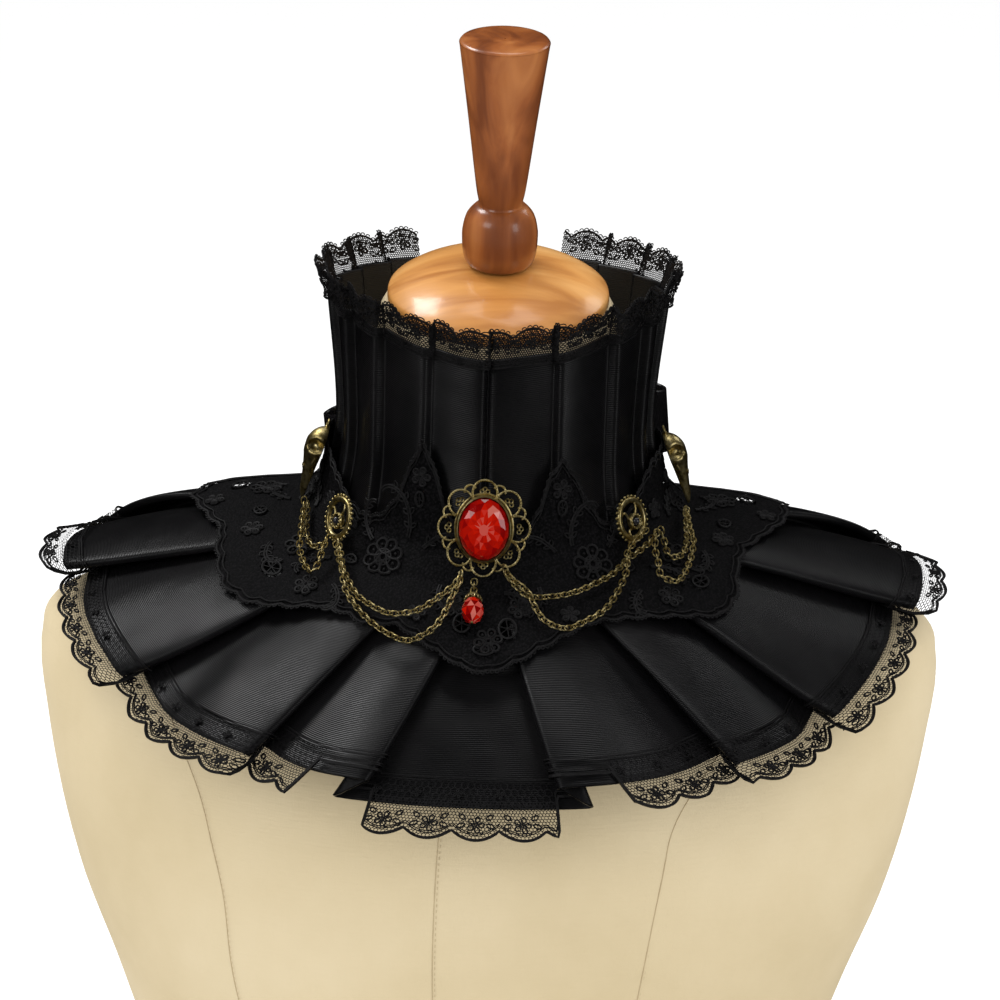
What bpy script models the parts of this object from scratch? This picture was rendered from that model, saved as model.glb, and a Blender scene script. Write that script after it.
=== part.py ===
"""Pleated shoulder collar with neck stand, lace edgings, lace applique, metal charms and chains, worn on a
limbless dress form with a wooden neck cap. Metres, +Z up, the front faces -Y, the origin is the middle of
the form's flat base. Azimuths are in degrees round the neck axis: 0 at the front, plus towards +X."""

import math

import bmesh
import bpy
import numpy as np
from mathutils import Vector

NECK_Z = 0.450  # height of the neck-base level, from which the h columns below are counted
CLOTH = 0.0010  # cloth wall
LACE = 0.0008  # lace wall
SEAM_GAP = 0.0003
LACE_GAP = 0.0010  # lace edgings stand this far off the pleated cloth
BACK_LEFT = -148.0  # azimuths where the collar ends at the open back
BACK_RIGHT = 156.0

# Meridians of the stand's inner pleat level: azimuth, h of lower edge, h of upper edge, radius at the rows
STAND_ROWS = (0.0, 0.16, 0.45, 1.0)
STAND = (
    (-150.0, 0.000, 0.1020, 0.0745, 0.0690, 0.0650, 0.0690),
    (-90.0, -0.004, 0.1000, 0.0820, 0.0735, 0.0675, 0.0725),
    (-48.0, -0.008, 0.0910, 0.0760, 0.0700, 0.0665, 0.0665),
    (0.0, -0.010, 0.0825, 0.0735, 0.0685, 0.0655, 0.0640),
    (48.0, -0.008, 0.0910, 0.0760, 0.0700, 0.0665, 0.0665),
    (90.0, -0.004, 0.1000, 0.0820, 0.0735, 0.0675, 0.0725),
    (158.0, 0.000, 0.1030, 0.0745, 0.0690, 0.0650, 0.0690),
)
STAND_FOLDS_RIGHT = (24.0, 48.0, 67.0, 84.0, 102.0, 121.0, 140.0)
STAND_FOLDS_LEFT = (4.6, 26.0, 48.0, 66.0, 83.0, 101.0, 119.0, 135.0)
STAND_PLEAT = (0.0044, 0.0050, 0.0052, 0.0050)  # pleat height at the rows

# The ruffle's lowest pleat level: azimuth, hem radius, hem h, arch of the meridian
RUFFLE_ROWS = (0.0, 0.06, 0.30, 0.60, 0.86, 1.0)
RUFFLE = (
    (-150.0, 0.158, -0.090, 0.006),
    (-128.0, 0.182, -0.074, 0.007),
    (-101.0, 0.201, -0.040, 0.008),
    (-75.0, 0.180, -0.059, 0.008),
    (-55.0, 0.162, -0.080, 0.008),
    (-25.0, 0.147, -0.0845, 0.0061),
    (0.0, 0.139, -0.0855, 0.0047),
    (25.0, 0.149, -0.0835, 0.0061),
    (55.0, 0.161, -0.081, 0.008),
    (75.0, 0.180, -0.060, 0.008),
    (101.0, 0.204, -0.042, 0.008),
    (128.0, 0.184, -0.074, 0.007),
    (158.0, 0.158, -0.092, 0.006),
)
# Fold edges: azimuth at the seam, azimuth at the hem, counted from the front on each side
FOLDS_RIGHT = (
    (3.0, 12.6), (22.0, 41.5), (42.0, 62.0), (66.0, 86.0), (90.0, 109.0), (113.0, 129.0), (136.0, 145.0),
)
FOLDS_LEFT = (
    (4.4, 19.2), (21.0, 39.0), (44.0, 66.0), (67.0, 89.0), (90.0, 110.0), (112.0, 128.0), (131.0, 140.0),
)
PLEAT_SEAM = (0.0046, 0.0040, 0.00115, 0.00115)  # height, underlap, inner fold radius, outer fold radius
PLEAT_HEM = (0.0120, 0.0100, 0.0028, 0.0022)
FRONT_DROP = 0.0070  # how much lower the front panel's hem hangs than its neighbours'
TUCK = 0.0085  # how far each other panel's hem is drawn up where it runs under the next one

HEM_LACE_BELOW = 0.0095  # least reach below the hem, to which the scallops add
HEM_SCALLOP = (0.018, 0.0042)  # repeat, depth
HEM_LACE_STEP = 0.0068  # length of edge between the lace's points
NECK_LACE_ABOVE = 0.0095
NECK_SCALLOP = (0.0145, 0.0036)
NECK_LACE_STEP = 0.0050


def smooth(x, xs, ys):
    """A smooth curve through table points that never overshoots them."""
    x = np.clip(np.asarray(x, float), xs[0], xs[-1])
    xs, ys = np.asarray(xs, float), np.asarray(ys, float)
    step = np.diff(xs)
    rise = np.diff(ys) / step
    slope = np.zeros(len(xs))
    slope[0], slope[-1] = rise[0], rise[-1]
    for i in range(1, len(xs) - 1):
        if rise[i - 1] * rise[i] > 0:
            slope[i] = 2 * rise[i - 1] * rise[i] / (rise[i - 1] + rise[i])
    k = np.clip(np.searchsorted(xs, x, side="right") - 1, 0, len(xs) - 2)
    t = (x - xs[k]) / step[k]
    return (
        ys[k] * (1 + 2 * t) * (1 - t) ** 2
        + slope[k] * step[k] * t * (1 - t) ** 2
        + ys[k + 1] * t * t * (3 - 2 * t)
        + slope[k + 1] * step[k] * t * t * (t - 1)
    )


def column(table, index):
    return [row[index] for row in table]


def place(radius, azimuth, h):
    angle = np.radians(azimuth)
    return np.stack([radius * np.sin(angle), -radius * np.cos(angle), NECK_Z + h + 0 * radius], axis=-1)


def material(name, color, metallic, roughness):
    made = bpy.data.materials.new(name)
    made.use_nodes = True
    shader = made.node_tree.nodes["Principled BSDF"]
    shader.inputs["Base Color"].default_value = (*color, 1.0)
    shader.inputs["Metallic"].default_value = metallic
    shader.inputs["Roughness"].default_value = roughness
    made.diffuse_color = (*color, 1.0)
    return made


def collection(name):
    found = bpy.data.collections.get(name)
    if found is None:
        found = bpy.data.collections.new(name)
        bpy.context.scene.collection.children.link(found)
    return found


def link(obj):
    collection("detachable_collar").objects.link(obj)
    return obj


def add(name, points, faces, made_of):
    """One closed object, its faces turned outwards."""
    points = np.asarray(points, float)
    volume = 0.0
    for face in faces:
        for i in range(1, len(face) - 1):
            volume += np.dot(points[face[0]], np.cross(points[face[i]], points[face[i + 1]]))
    if volume < 0:
        faces = [tuple(reversed(face)) for face in faces]
    mesh = bpy.data.meshes.new(name)
    mesh.from_pydata([tuple(p) for p in points], [], faces)
    mesh.materials.append(made_of)
    return link(bpy.data.objects.new(name, mesh))


def wall(name, outer, inner, made_of, holes=()):
    """A wall between two grids of points [row][column], its rims closed, and the named cells cut through."""
    outer, inner = np.asarray(outer), np.asarray(inner)
    rows, cols = outer.shape[:2]
    points = np.concatenate([outer.reshape(-1, 3), inner.reshape(-1, 3)])
    half = rows * cols

    def at(r, c, side):
        return side * half + r * cols + c

    faces = []
    rims = {}
    for r in range(rows - 1):
        for c in range(cols - 1):
            if (r, c) in holes:
                continue
            a, b, d, e = (r, c), (r, c + 1), (r + 1, c + 1), (r + 1, c)
            faces.append((at(*a, 0), at(*b, 0), at(*d, 0), at(*e, 0)))
            faces.append((at(*e, 1), at(*d, 1), at(*b, 1), at(*a, 1)))
            for edge in ((a, b), (b, d), (d, e), (e, a)):
                key = tuple(sorted(edge))
                rims[key] = None if key in rims else edge
    for edge in rims.values():
        if edge:
            p, q = edge
            faces.append((at(*q, 0), at(*p, 0), at(*p, 1), at(*q, 1)))
    return add(name, points, faces, made_of)


def rings_body(name, rings, made_of):
    """A closed body through rings of equal point counts, its ends capped by fans of one polygon."""
    rings = np.asarray(rings)
    count, around = rings.shape[:2]
    points = rings.reshape(-1, 3)
    faces = []
    for r in range(count - 1):
        for c in range(around):
            n = (c + 1) % around
            faces.append((r * around + c, r * around + n, (r + 1) * around + n, (r + 1) * around + c))
    faces.append(tuple(reversed(range(around))))
    faces.append(tuple(range((count - 1) * around, count * around)))
    return add(name, points, faces, made_of)


def offset_line(line, distance):
    """The polyline moved sideways to its left by the distance, mitred at its corners."""
    line = np.asarray(line, float)
    along = np.diff(line, axis=0)
    along /= np.linalg.norm(along, axis=1)[:, None]
    left = np.stack([-along[:, 1], along[:, 0]], axis=1)
    first = np.vstack([left[:1], left])
    second = np.vstack([left, left[-1:]])
    middle = first + second
    middle /= np.linalg.norm(middle, axis=1)[:, None]
    stretch = 1 / np.clip((middle * second).sum(axis=1), 0.6, 1)
    return line + middle * (distance * stretch)[:, None]


# Stand


def stand_meridian(azimuth, row):
    low = smooth(azimuth, column(STAND, 0), column(STAND, 1))
    high = smooth(azimuth, column(STAND, 0), column(STAND, 2))
    part = STAND_ROWS[row]
    return smooth(azimuth, column(STAND, 0), column(STAND, 3 + row)), low + (high - low) * part


def arc_table(radii_and_h):
    """Arc length along a row of points, 0 at azimuth 0."""
    azimuths = np.linspace(-160, 165, 651)
    radius, h = radii_and_h(azimuths)
    points = place(radius, azimuths, h)
    arcs = np.concatenate([[0], np.cumsum(np.linalg.norm(np.diff(points, axis=0), axis=1))])
    return azimuths, arcs - np.interp(0, azimuths, arcs)


def stand_profile(row):
    azimuths, arcs = arc_table(lambda az: stand_meridian(az, row))
    height = STAND_PLEAT[row]

    def side(folds, end, sign):
        edges = [abs(float(np.interp(sign * fold, azimuths, arcs))) for fold in folds]
        last = abs(float(np.interp(end, azimuths, arcs)))
        line = [(0.0, height * 0.55)]
        for i, edge in enumerate(edges):
            width = (edges[i + 1] if i + 1 < len(edges) else last) - edge
            line += [(edge - min(0.0042, edge * 0.6), 0.0008), (edge - 0.0014, 0.0)]
            line += [(edge - 0.0008, height * 0.92), (edge + 0.0010, height)]
            line += [(edge + width * 0.40, height * 0.72)]
        line.append((last, height * 0.25))
        return line

    right = side(STAND_FOLDS_RIGHT, BACK_RIGHT, 1)
    left = side(STAND_FOLDS_LEFT, BACK_LEFT, -1)
    return np.array([(-a, z) for a, z in reversed(left[1:])] + right), azimuths, arcs


def stand_points(offset):
    """Grid of points of the stand's pleated sheet, moved outwards by the offset."""
    grid = []
    for row in range(len(STAND_ROWS)):
        line, azimuths, arcs = stand_profile(row)
        line = offset_line(line, offset)
        azimuth = np.interp(line[:, 0], arcs, azimuths)
        radius, h = stand_meridian(azimuth, row)
        grid.append(place(radius + line[:, 1], azimuth, h))
    return np.array(grid)


# Ruffle


def ruffle_meridian(azimuth, s):
    """Radius, h and the outward direction of the lowest pleat level at a share s of the way to the hem."""
    seam_r, seam_h = stand_meridian(azimuth, 0)
    seam_h = seam_h - SEAM_GAP
    hem_r = smooth(azimuth, column(RUFFLE, 0), column(RUFFLE, 1))
    hem_h = smooth(azimuth, column(RUFFLE, 0), column(RUFFLE, 2))
    arch = smooth(azimuth, column(RUFFLE, 0), column(RUFFLE, 3))
    turn_r, turn_h = seam_r + 0.003, seam_h - 0.005
    first, straight = RUFFLE_ROWS[1], RUFFLE_ROWS[4]
    if s <= first:
        k = s / first
        out = math.radians(45.0 * k)
        return seam_r + (turn_r - seam_r) * k, seam_h + (turn_h - seam_h) * k, math.cos(out), math.sin(out)
    k = (s - first) / (1 - first)
    bend = (straight - first) / (1 - first)
    if k <= bend:
        bulge, tilt = 4 * k * (1 - k), 4 * (1 - 2 * k)
    else:
        bulge, tilt = 4 * bend * (1 - bend) + 4 * (1 - 2 * bend) * (k - bend), 4 * (1 - 2 * bend)
    dr, dh = hem_r - turn_r, hem_h - turn_h
    size = np.hypot(dr, dh)
    nr, nh = -dh / size, dr / size
    radius = turn_r + dr * k + nr * arch * bulge
    h = turn_h + dh * k + nh * arch * bulge
    tr, th = dr + nr * arch * tilt, dh + nh * arch * tilt
    size = np.hypot(tr, th)
    return radius, h, -th / size, tr / size


def pleat_sizes(s):
    return [a + (b - a) * s for a, b in zip(PLEAT_SEAM, PLEAT_HEM)]


def ruffle_profile(s):
    azimuths, arcs = arc_table(lambda az: ruffle_meridian(az, s)[:2])
    height, under, inner, outer = pleat_sizes(s)

    def side(folds, end, sign):
        edges = [abs(float(np.interp(sign * (a + (b - a) * s), azimuths, arcs))) for a, b in folds]
        last = abs(float(np.interp(end, azimuths, arcs)))
        line = [(0.0, 0.0, FRONT_DROP), (edges[0] * 0.6, 0.0, FRONT_DROP)]
        for i, edge in enumerate(edges):
            slide = -TUCK if i else FRONT_DROP
            for turn in (-90, -30, 30, 90):
                c, t = math.cos(math.radians(turn)), math.sin(math.radians(turn))
                line.append((edge + under + inner * c, inner + inner * t, slide))
            for turn in (-90, -30, 30, 90):
                c, t = math.cos(math.radians(turn)), math.sin(math.radians(turn))
                line.append((edge - outer * c, height - outer + outer * t, 0.0))
            width = (edges[i + 1] if i + 1 < len(edges) else last) - edge
            start = min(0.3, under / width + 0.1)
            for u in (start, start + (0.88 - start) * 0.4, start + (0.88 - start) * 0.72, 0.88):
                line.append((edge + width * u, height * math.cos(u * math.pi / 2) ** 0.85, -TUCK * u * u * u))
        line.append((last, height * 0.02, -TUCK))
        return line

    right = side(FOLDS_RIGHT, BACK_RIGHT + 2 * s, 1)
    left = side(FOLDS_LEFT, BACK_LEFT - 2 * s, -1)
    line = np.array([(-a, z, slide) for a, z, slide in reversed(left[1:])] + right)
    fade = max(0.0, (s - 0.3) / 0.7) ** 1.5
    return line[:, :2], line[:, 2] * fade, azimuths, arcs


def ruffle_row(s, offset):
    """One row of points of the pleated ruffle, moved outwards by the offset, each panel slid down or up."""
    line, slide, azimuths, arcs = ruffle_profile(s)
    line = offset_line(line, offset)
    azimuth = np.interp(line[:, 0], arcs, azimuths)
    radius, h, out_r, out_h = ruffle_meridian(azimuth, s)
    radius = radius + line[:, 1] * out_r + slide * out_h
    return place(radius, azimuth, h + line[:, 1] * out_h - slide * out_r)


def lace_parts(edge, spacing):
    """How many columns each step of an edge is split into, and the arc length at every column."""
    lengths = np.linalg.norm(np.diff(edge, axis=0), axis=1)
    parts = np.maximum(1, np.round(lengths / spacing)).astype(int)
    arc = np.concatenate([[0.0], np.cumsum(np.repeat(lengths / parts, parts))])
    return parts, arc


def split(row, parts):
    """The row's points with evenly spaced points set between them."""
    found = [row[0]]
    for i, count in enumerate(parts):
        for p in range(1, count + 1):
            found.append(row[i] + (row[i + 1] - row[i]) * (p / count))
    return np.array(found)


def hem_lace_grids(spacing):
    first, second = ruffle_row(RUFFLE_ROWS[4], 0.0), ruffle_row(1.0, 0.0)
    parts, arc = lace_parts(second, spacing)
    length = np.linalg.norm(split(second, parts) - split(first, parts), axis=1)
    reach = HEM_LACE_BELOW + HEM_SCALLOP[1] * np.abs(np.sin(np.pi * arc / HEM_SCALLOP[0])) ** 0.8
    low = (1 + reach / length)[:, None]
    grids = []
    for offset in (CLOTH / 2 + LACE_GAP + LACE, CLOTH / 2 + LACE_GAP):
        a, b = split(ruffle_row(RUFFLE_ROWS[4], offset), parts), split(ruffle_row(1.0, offset), parts)
        grids.append([a + (b - a) * 0.08, a + (b - a) * low])
    return grids


def neck_lace_grids(spacing):
    plain = stand_points(0.0)
    parts, arc = lace_parts(plain[3], spacing)
    length = np.linalg.norm(split(plain[3], parts) - split(plain[2], parts), axis=1)
    reach = NECK_LACE_ABOVE + NECK_SCALLOP[1] * np.abs(np.sin(np.pi * arc / NECK_SCALLOP[0])) ** 0.8
    high = (1 + reach / length)[:, None]
    grids = []
    for offset in (CLOTH / 2 + LACE_GAP + LACE, CLOTH / 2 + LACE_GAP):
        rows = stand_points(offset)
        a, b = split(rows[2], parts), split(rows[3], parts)
        out = b * (1, 1, 0)
        out /= np.linalg.norm(out, axis=1)[:, None]
        turn = np.abs(np.arctan2(b[:, 0], -b[:, 1]))
        flare = 0.001 + 0.001 * np.clip((turn - 0.9) / 0.6, 0, 1)
        grids.append([a + (b - a) * 0.92, a + (b - a) * high + out * flare[:, None]])
    return grids


# Applique

# The applique's reach from the seam: azimuth, up the stand, down the ruffle
APPLIQUE = (
    (-116.0, 0.012, 0.012), (-110.0, 0.026, 0.034), (-102.0, 0.031, 0.052), (-96.0, 0.033, 0.056),
    (-88.0, 0.032, 0.047), (-80.0, 0.032, 0.040), (-72.0, 0.029, 0.046), (-64.0, 0.024, 0.052),
    (-56.0, 0.017, 0.050), (-48.0, 0.013, 0.043), (-40.0, 0.015, 0.035), (-34.0, 0.024, 0.034),
    (-29.0, 0.042, 0.036), (-25.0, 0.052, 0.034), (-21.0, 0.044, 0.033), (-16.0, 0.026, 0.037),
    (-11.0, 0.014, 0.042), (-5.0, 0.009, 0.048), (0.0, 0.009, 0.050), (6.0, 0.010, 0.045),
    (11.0, 0.014, 0.040), (16.0, 0.026, 0.036), (20.0, 0.040, 0.033), (24.0, 0.046, 0.031),
    (28.0, 0.040, 0.031), (34.0, 0.024, 0.033), (40.0, 0.014, 0.036), (47.0, 0.011, 0.041),
    (54.0, 0.018, 0.047), (61.0, 0.027, 0.045), (68.0, 0.032, 0.036), (76.0, 0.033, 0.033),
    (84.0, 0.033, 0.040), (92.0, 0.033, 0.050), (100.0, 0.032, 0.055), (108.0, 0.028, 0.040),
    (116.0, 0.012, 0.012),
)
APPLIQUE_STEP = 4.0
APPLIQUE_HOLES = ((4, 26), (4, 30), (4, 14), (4, 44), (1, 22), (1, 35))


def cover_line(azimuth, clear):
    """Radius and h of the smooth cover over stand and ruffle crests, with its distance from the seam."""
    low = float(smooth(azimuth, column(STAND, 0), column(STAND, 1)))
    high = float(smooth(azimuth, column(STAND, 0), column(STAND, 2)))
    found = []
    for up in (0.062, 0.052, 0.042, 0.032, 0.023, 0.016, 0.010):
        part = up / (high - low)
        radii = [float(smooth(azimuth, column(STAND, 0), column(STAND, 3 + i))) for i in range(4)]
        radius = float(np.interp(part, STAND_ROWS, radii))
        pleat = float(np.interp(part, STAND_ROWS, STAND_PLEAT))
        found.append((radius + pleat + CLOTH / 2 + clear, low + up))
    for s in (0.12, 0.2, 0.3, 0.4, 0.5, 0.6, 0.7):
        radius, h, out_r, out_h = (float(v) for v in ruffle_meridian(azimuth, s))
        rise = pleat_sizes(s)[0] + CLOTH / 2 + clear
        found.append((radius + rise * out_r, h + rise * out_h))
    line = np.array(found)
    arc = np.concatenate([[0], np.cumsum(np.linalg.norm(np.diff(line, axis=0), axis=1))])
    middle = (arc[6] + arc[7]) / 2
    return line, middle - arc


def cover_point(azimuth, up, clear):
    line, arc = cover_line(azimuth, clear)
    order = np.argsort(arc)
    radius = np.interp(up, arc[order], line[order, 0])
    h = np.interp(up, arc[order], line[order, 1])
    return place(np.asarray(radius), np.asarray(azimuth), np.asarray(h))


def applique_grids():
    azimuths = np.arange(-116.0, 116.01, APPLIQUE_STEP)
    shares = (0.0, 0.18, 0.38, 0.55, 0.70, 0.85, 1.0)
    outer, inner = [], []
    for row, share in enumerate(shares):
        a_row, b_row = [], []
        for i, azimuth in enumerate(azimuths):
            up = float(np.interp(azimuth, column(APPLIQUE, 0), column(APPLIQUE, 1)))
            down = float(np.interp(azimuth, column(APPLIQUE, 0), column(APPLIQUE, 2)))
            edge = 0.0012 if i % 2 else -0.0012
            top, bottom = up + edge, -down - edge
            along = top + (bottom - top) * share
            relief = 0.0 if row in (0, 6) else 0.0005 * (1 + math.sin(i * 2.2 + row * 1.7))
            b_row.append(cover_point(azimuth, along, 0.0007))
            a_row.append(cover_point(azimuth, along, 0.0021 + relief))
        outer.append(a_row)
        inner.append(b_row)
    return np.array(outer), np.array(inner)


# Dress form

# Level sections of the torso: h, half width, front, back, roundness power, middle y, forward tilt in degrees
TORSO = (
    (-0.450, 0.124, 0.092, 0.086, 2.15, 0.004, 0.0),
    (-0.390, 0.132, 0.100, 0.092, 2.15, 0.004, 0.0),
    (-0.320, 0.150, 0.114, 0.100, 2.15, 0.005, 0.0),
    (-0.265, 0.167, 0.124, 0.106, 2.15, 0.006, 0.0),
    (-0.220, 0.181, 0.130, 0.110, 2.15, 0.007, 0.0),
    (-0.180, 0.195, 0.132, 0.112, 2.15, 0.008, 0.0),
    (-0.140, 0.205, 0.128, 0.112, 2.10, 0.009, 0.0),
    (-0.105, 0.211, 0.119, 0.110, 2.00, 0.010, 0.0),
    (-0.080, 0.214, 0.109, 0.106, 1.90, 0.011, 0.0),
    (-0.065, 0.213, 0.102, 0.102, 1.80, 0.012, 0.0),
    (-0.0528, 0.205, 0.097, 0.097, 1.72, 0.012, 0.0),
    (-0.0448, 0.186, 0.092, 0.092, 1.68, 0.012, 0.0),
    (-0.0357, 0.158, 0.086, 0.087, 1.70, 0.011, 0.0),
    (-0.0267, 0.126, 0.080, 0.082, 1.78, 0.009, 0.0),
    (-0.0177, 0.097, 0.074, 0.077, 1.88, 0.007, 0.0),
    (-0.0087, 0.079, 0.0690, 0.0715, 1.95, 0.004, 0.0),
    (0.0000, 0.0695, 0.0650, 0.0665, 2.0, 0.002, 0.0),
    (0.012, 0.0630, 0.0615, 0.0620, 2.0, 0.000, 1.0),
    (0.034, 0.0585, 0.0590, 0.0580, 2.0, -0.001, 3.0),
    (0.062, 0.0560, 0.0585, 0.0530, 2.0, -0.003, 7.0),
    (0.086, 0.0540, 0.0590, 0.0480, 2.0, -0.006, 12.0),
    (0.0935, 0.0530, 0.0595, 0.0450, 2.0, -0.0075, 13.0),
    (0.0960, 0.0510, 0.0580, 0.0430, 2.0, -0.0080, 13.0),
)
TORSO_AROUND = 32
CAP_CENTRE = (0.0, -0.0080, 0.0965)
CAP_TILT = 13.0
# Turned profiles along the tilted neck axis, from the top down: radius, height above the cap
CAP = (
    (0.0, 0.0172), (0.0130, 0.0172), (0.0200, 0.0166), (0.0320, 0.0142), (0.0420, 0.0104), (0.0484, 0.0064),
    (0.0496, 0.0046), (0.0496, 0.0012), (0.0482, 0.0), (0.0, 0.0),
)
FINIAL = (
    (0.0, 0.1212), (0.0160, 0.1212), (0.0188, 0.1206), (0.0193, 0.1190), (0.0190, 0.1170), (0.0152, 0.0880),
    (0.0112, 0.0560), (0.0098, 0.0480), (0.0098, 0.0462), (0.0118, 0.0450), (0.0150, 0.0410), (0.0166, 0.0350),
    (0.0168, 0.0300), (0.0163, 0.0235), (0.0145, 0.0190), (0.0115, 0.0176), (0.0, 0.0176),
)


def tilted(points, centre, degrees):
    """Points of a shape built upright at the origin, leaned forward and moved to its centre."""
    t = math.radians(degrees)
    points = np.asarray(points, float)
    y = points[..., 1] * math.cos(t) - points[..., 2] * math.sin(t)
    z = points[..., 1] * math.sin(t) + points[..., 2] * math.cos(t)
    return np.stack([points[..., 0] + centre[0], y + centre[1], z + centre[2]], axis=-1)


def torso_ring(row):
    h, half, front, back, power, middle, tilt = row
    ring = []
    for i in range(TORSO_AROUND):
        angle = 2 * math.pi * i / TORSO_AROUND
        c, s = math.cos(angle), math.sin(angle)
        x = half * math.copysign(abs(c) ** (2 / power), c)
        depth = (front + middle) if s < 0 else (back - middle)
        y = depth * math.copysign(abs(s) ** (2 / power), s)
        ring.append((x, y, 0.0))
    return tilted(ring, (0.0, middle, NECK_Z + h), tilt)


def turned(name, profile, steps, origin, axis, made_of):
    """A turned body: its profile, from the top down the outer side, spun round an axis through the origin."""
    mesh = bpy.data.meshes.new(name)
    points = [(radius, 0.0, height) for radius, height in profile]
    mesh.from_pydata(points, [(i, i + 1) for i in range(len(points) - 1)], [])
    mesh.materials.append(made_of)
    obj = link(bpy.data.objects.new(name, mesh))
    spin = obj.modifiers.new("turn", "SCREW")
    spin.steps = steps
    spin.render_steps = steps
    spin.use_merge_vertices = True
    spin.merge_threshold = 0.0001
    obj.location = (origin[0], origin[1], NECK_Z + origin[2])
    obj.rotation_euler = Vector(axis).to_track_quat("Z", "Y").to_euler()
    return obj


# Metalwork

SETTING_CENTRE = (-0.0032, -0.0816, 0.0122)  # middle of its back
SETTING_LEAN = 11.0
SETTING_SIZE = (0.0203, 0.0214)  # half width and half height of the petals
BEZEL_OUTER = (0.0118, 0.0143)
BEZEL_INNER = (0.0110, 0.0135)
GEM = (
    (0.0106, 0.0131, 0.0016), (0.0107, 0.0132, 0.0046), (0.0084, 0.0106, 0.0066), (0.0052, 0.0068, 0.0074),
)
DROP_TOP = (-0.0067, -0.0880, -0.0095)
DROP_MIDDLE = (-0.0071, -0.1048, -0.0190)
# Turned profiles along the pendant's axis, from its far end back: radius, distance from the pendant's top
DROP_CAP = (
    (0.0, 0.0106), (0.0028, 0.0106), (0.0034, 0.0102), (0.0016, 0.0078), (0.0009, 0.0070), (0.0009, 0.0004),
    (0.0006, 0.0), (0.0, 0.0),
)
DROP_BEAD = (
    (0.0, 0.0232), (0.0010, 0.0232), (0.0034, 0.0222), (0.0047, 0.0185), (0.0046, 0.0160), (0.0034, 0.0122),
    (0.0012, 0.0109), (0.0, 0.0109),
)
GEARS = {
    "gear_right": ((0.0610, -0.0532, 0.0091), 49.0, 16.0),
    "gear_left": ((-0.0670, -0.0520, 0.0055), -55.0, 16.0),
}
GEAR_TEETH = 20
# Gear levels from back to front: radius of the teeth, radius between them, height
GEAR = (
    (0.0104, 0.0096, 0.0), (0.0104, 0.0096, 0.0014), (0.0086, 0.0086, 0.0020),
    (0.0068, 0.0068, 0.0010), (0.0042, 0.0042, 0.0010), (0.0034, 0.0034, 0.0026),
)
SKULLS = {
    "skull_right": ((0.0835, -0.0060, 0.0195), 86.0, 22.0),
    "skull_left": ((-0.0811, -0.0149, 0.0202), -83.0, 20.0),
}
# Charm sections from crown to beak tip: height along the charm, half width, depth
SKULL_SECTIONS = (
    (0.0175, 0.0012, 0.0016), (0.0160, 0.0042, 0.0042), (0.0130, 0.0062, 0.0066), (0.0090, 0.0070, 0.0078),
    (0.0050, 0.0066, 0.0076), (0.0010, 0.0052, 0.0064), (-0.0040, 0.0042, 0.0050), (-0.0090, 0.0032, 0.0038),
    (-0.0140, 0.0020, 0.0026), (-0.0175, 0.0006, 0.0010),
)
EYE_RADIUS = 0.0019
EYE_PLACE = (0.0, 0.0085, 0.0036)  # in the charm's own frame
EYE_REACH = 0.024
CHAIN_RADIUS = 0.0011
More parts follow.
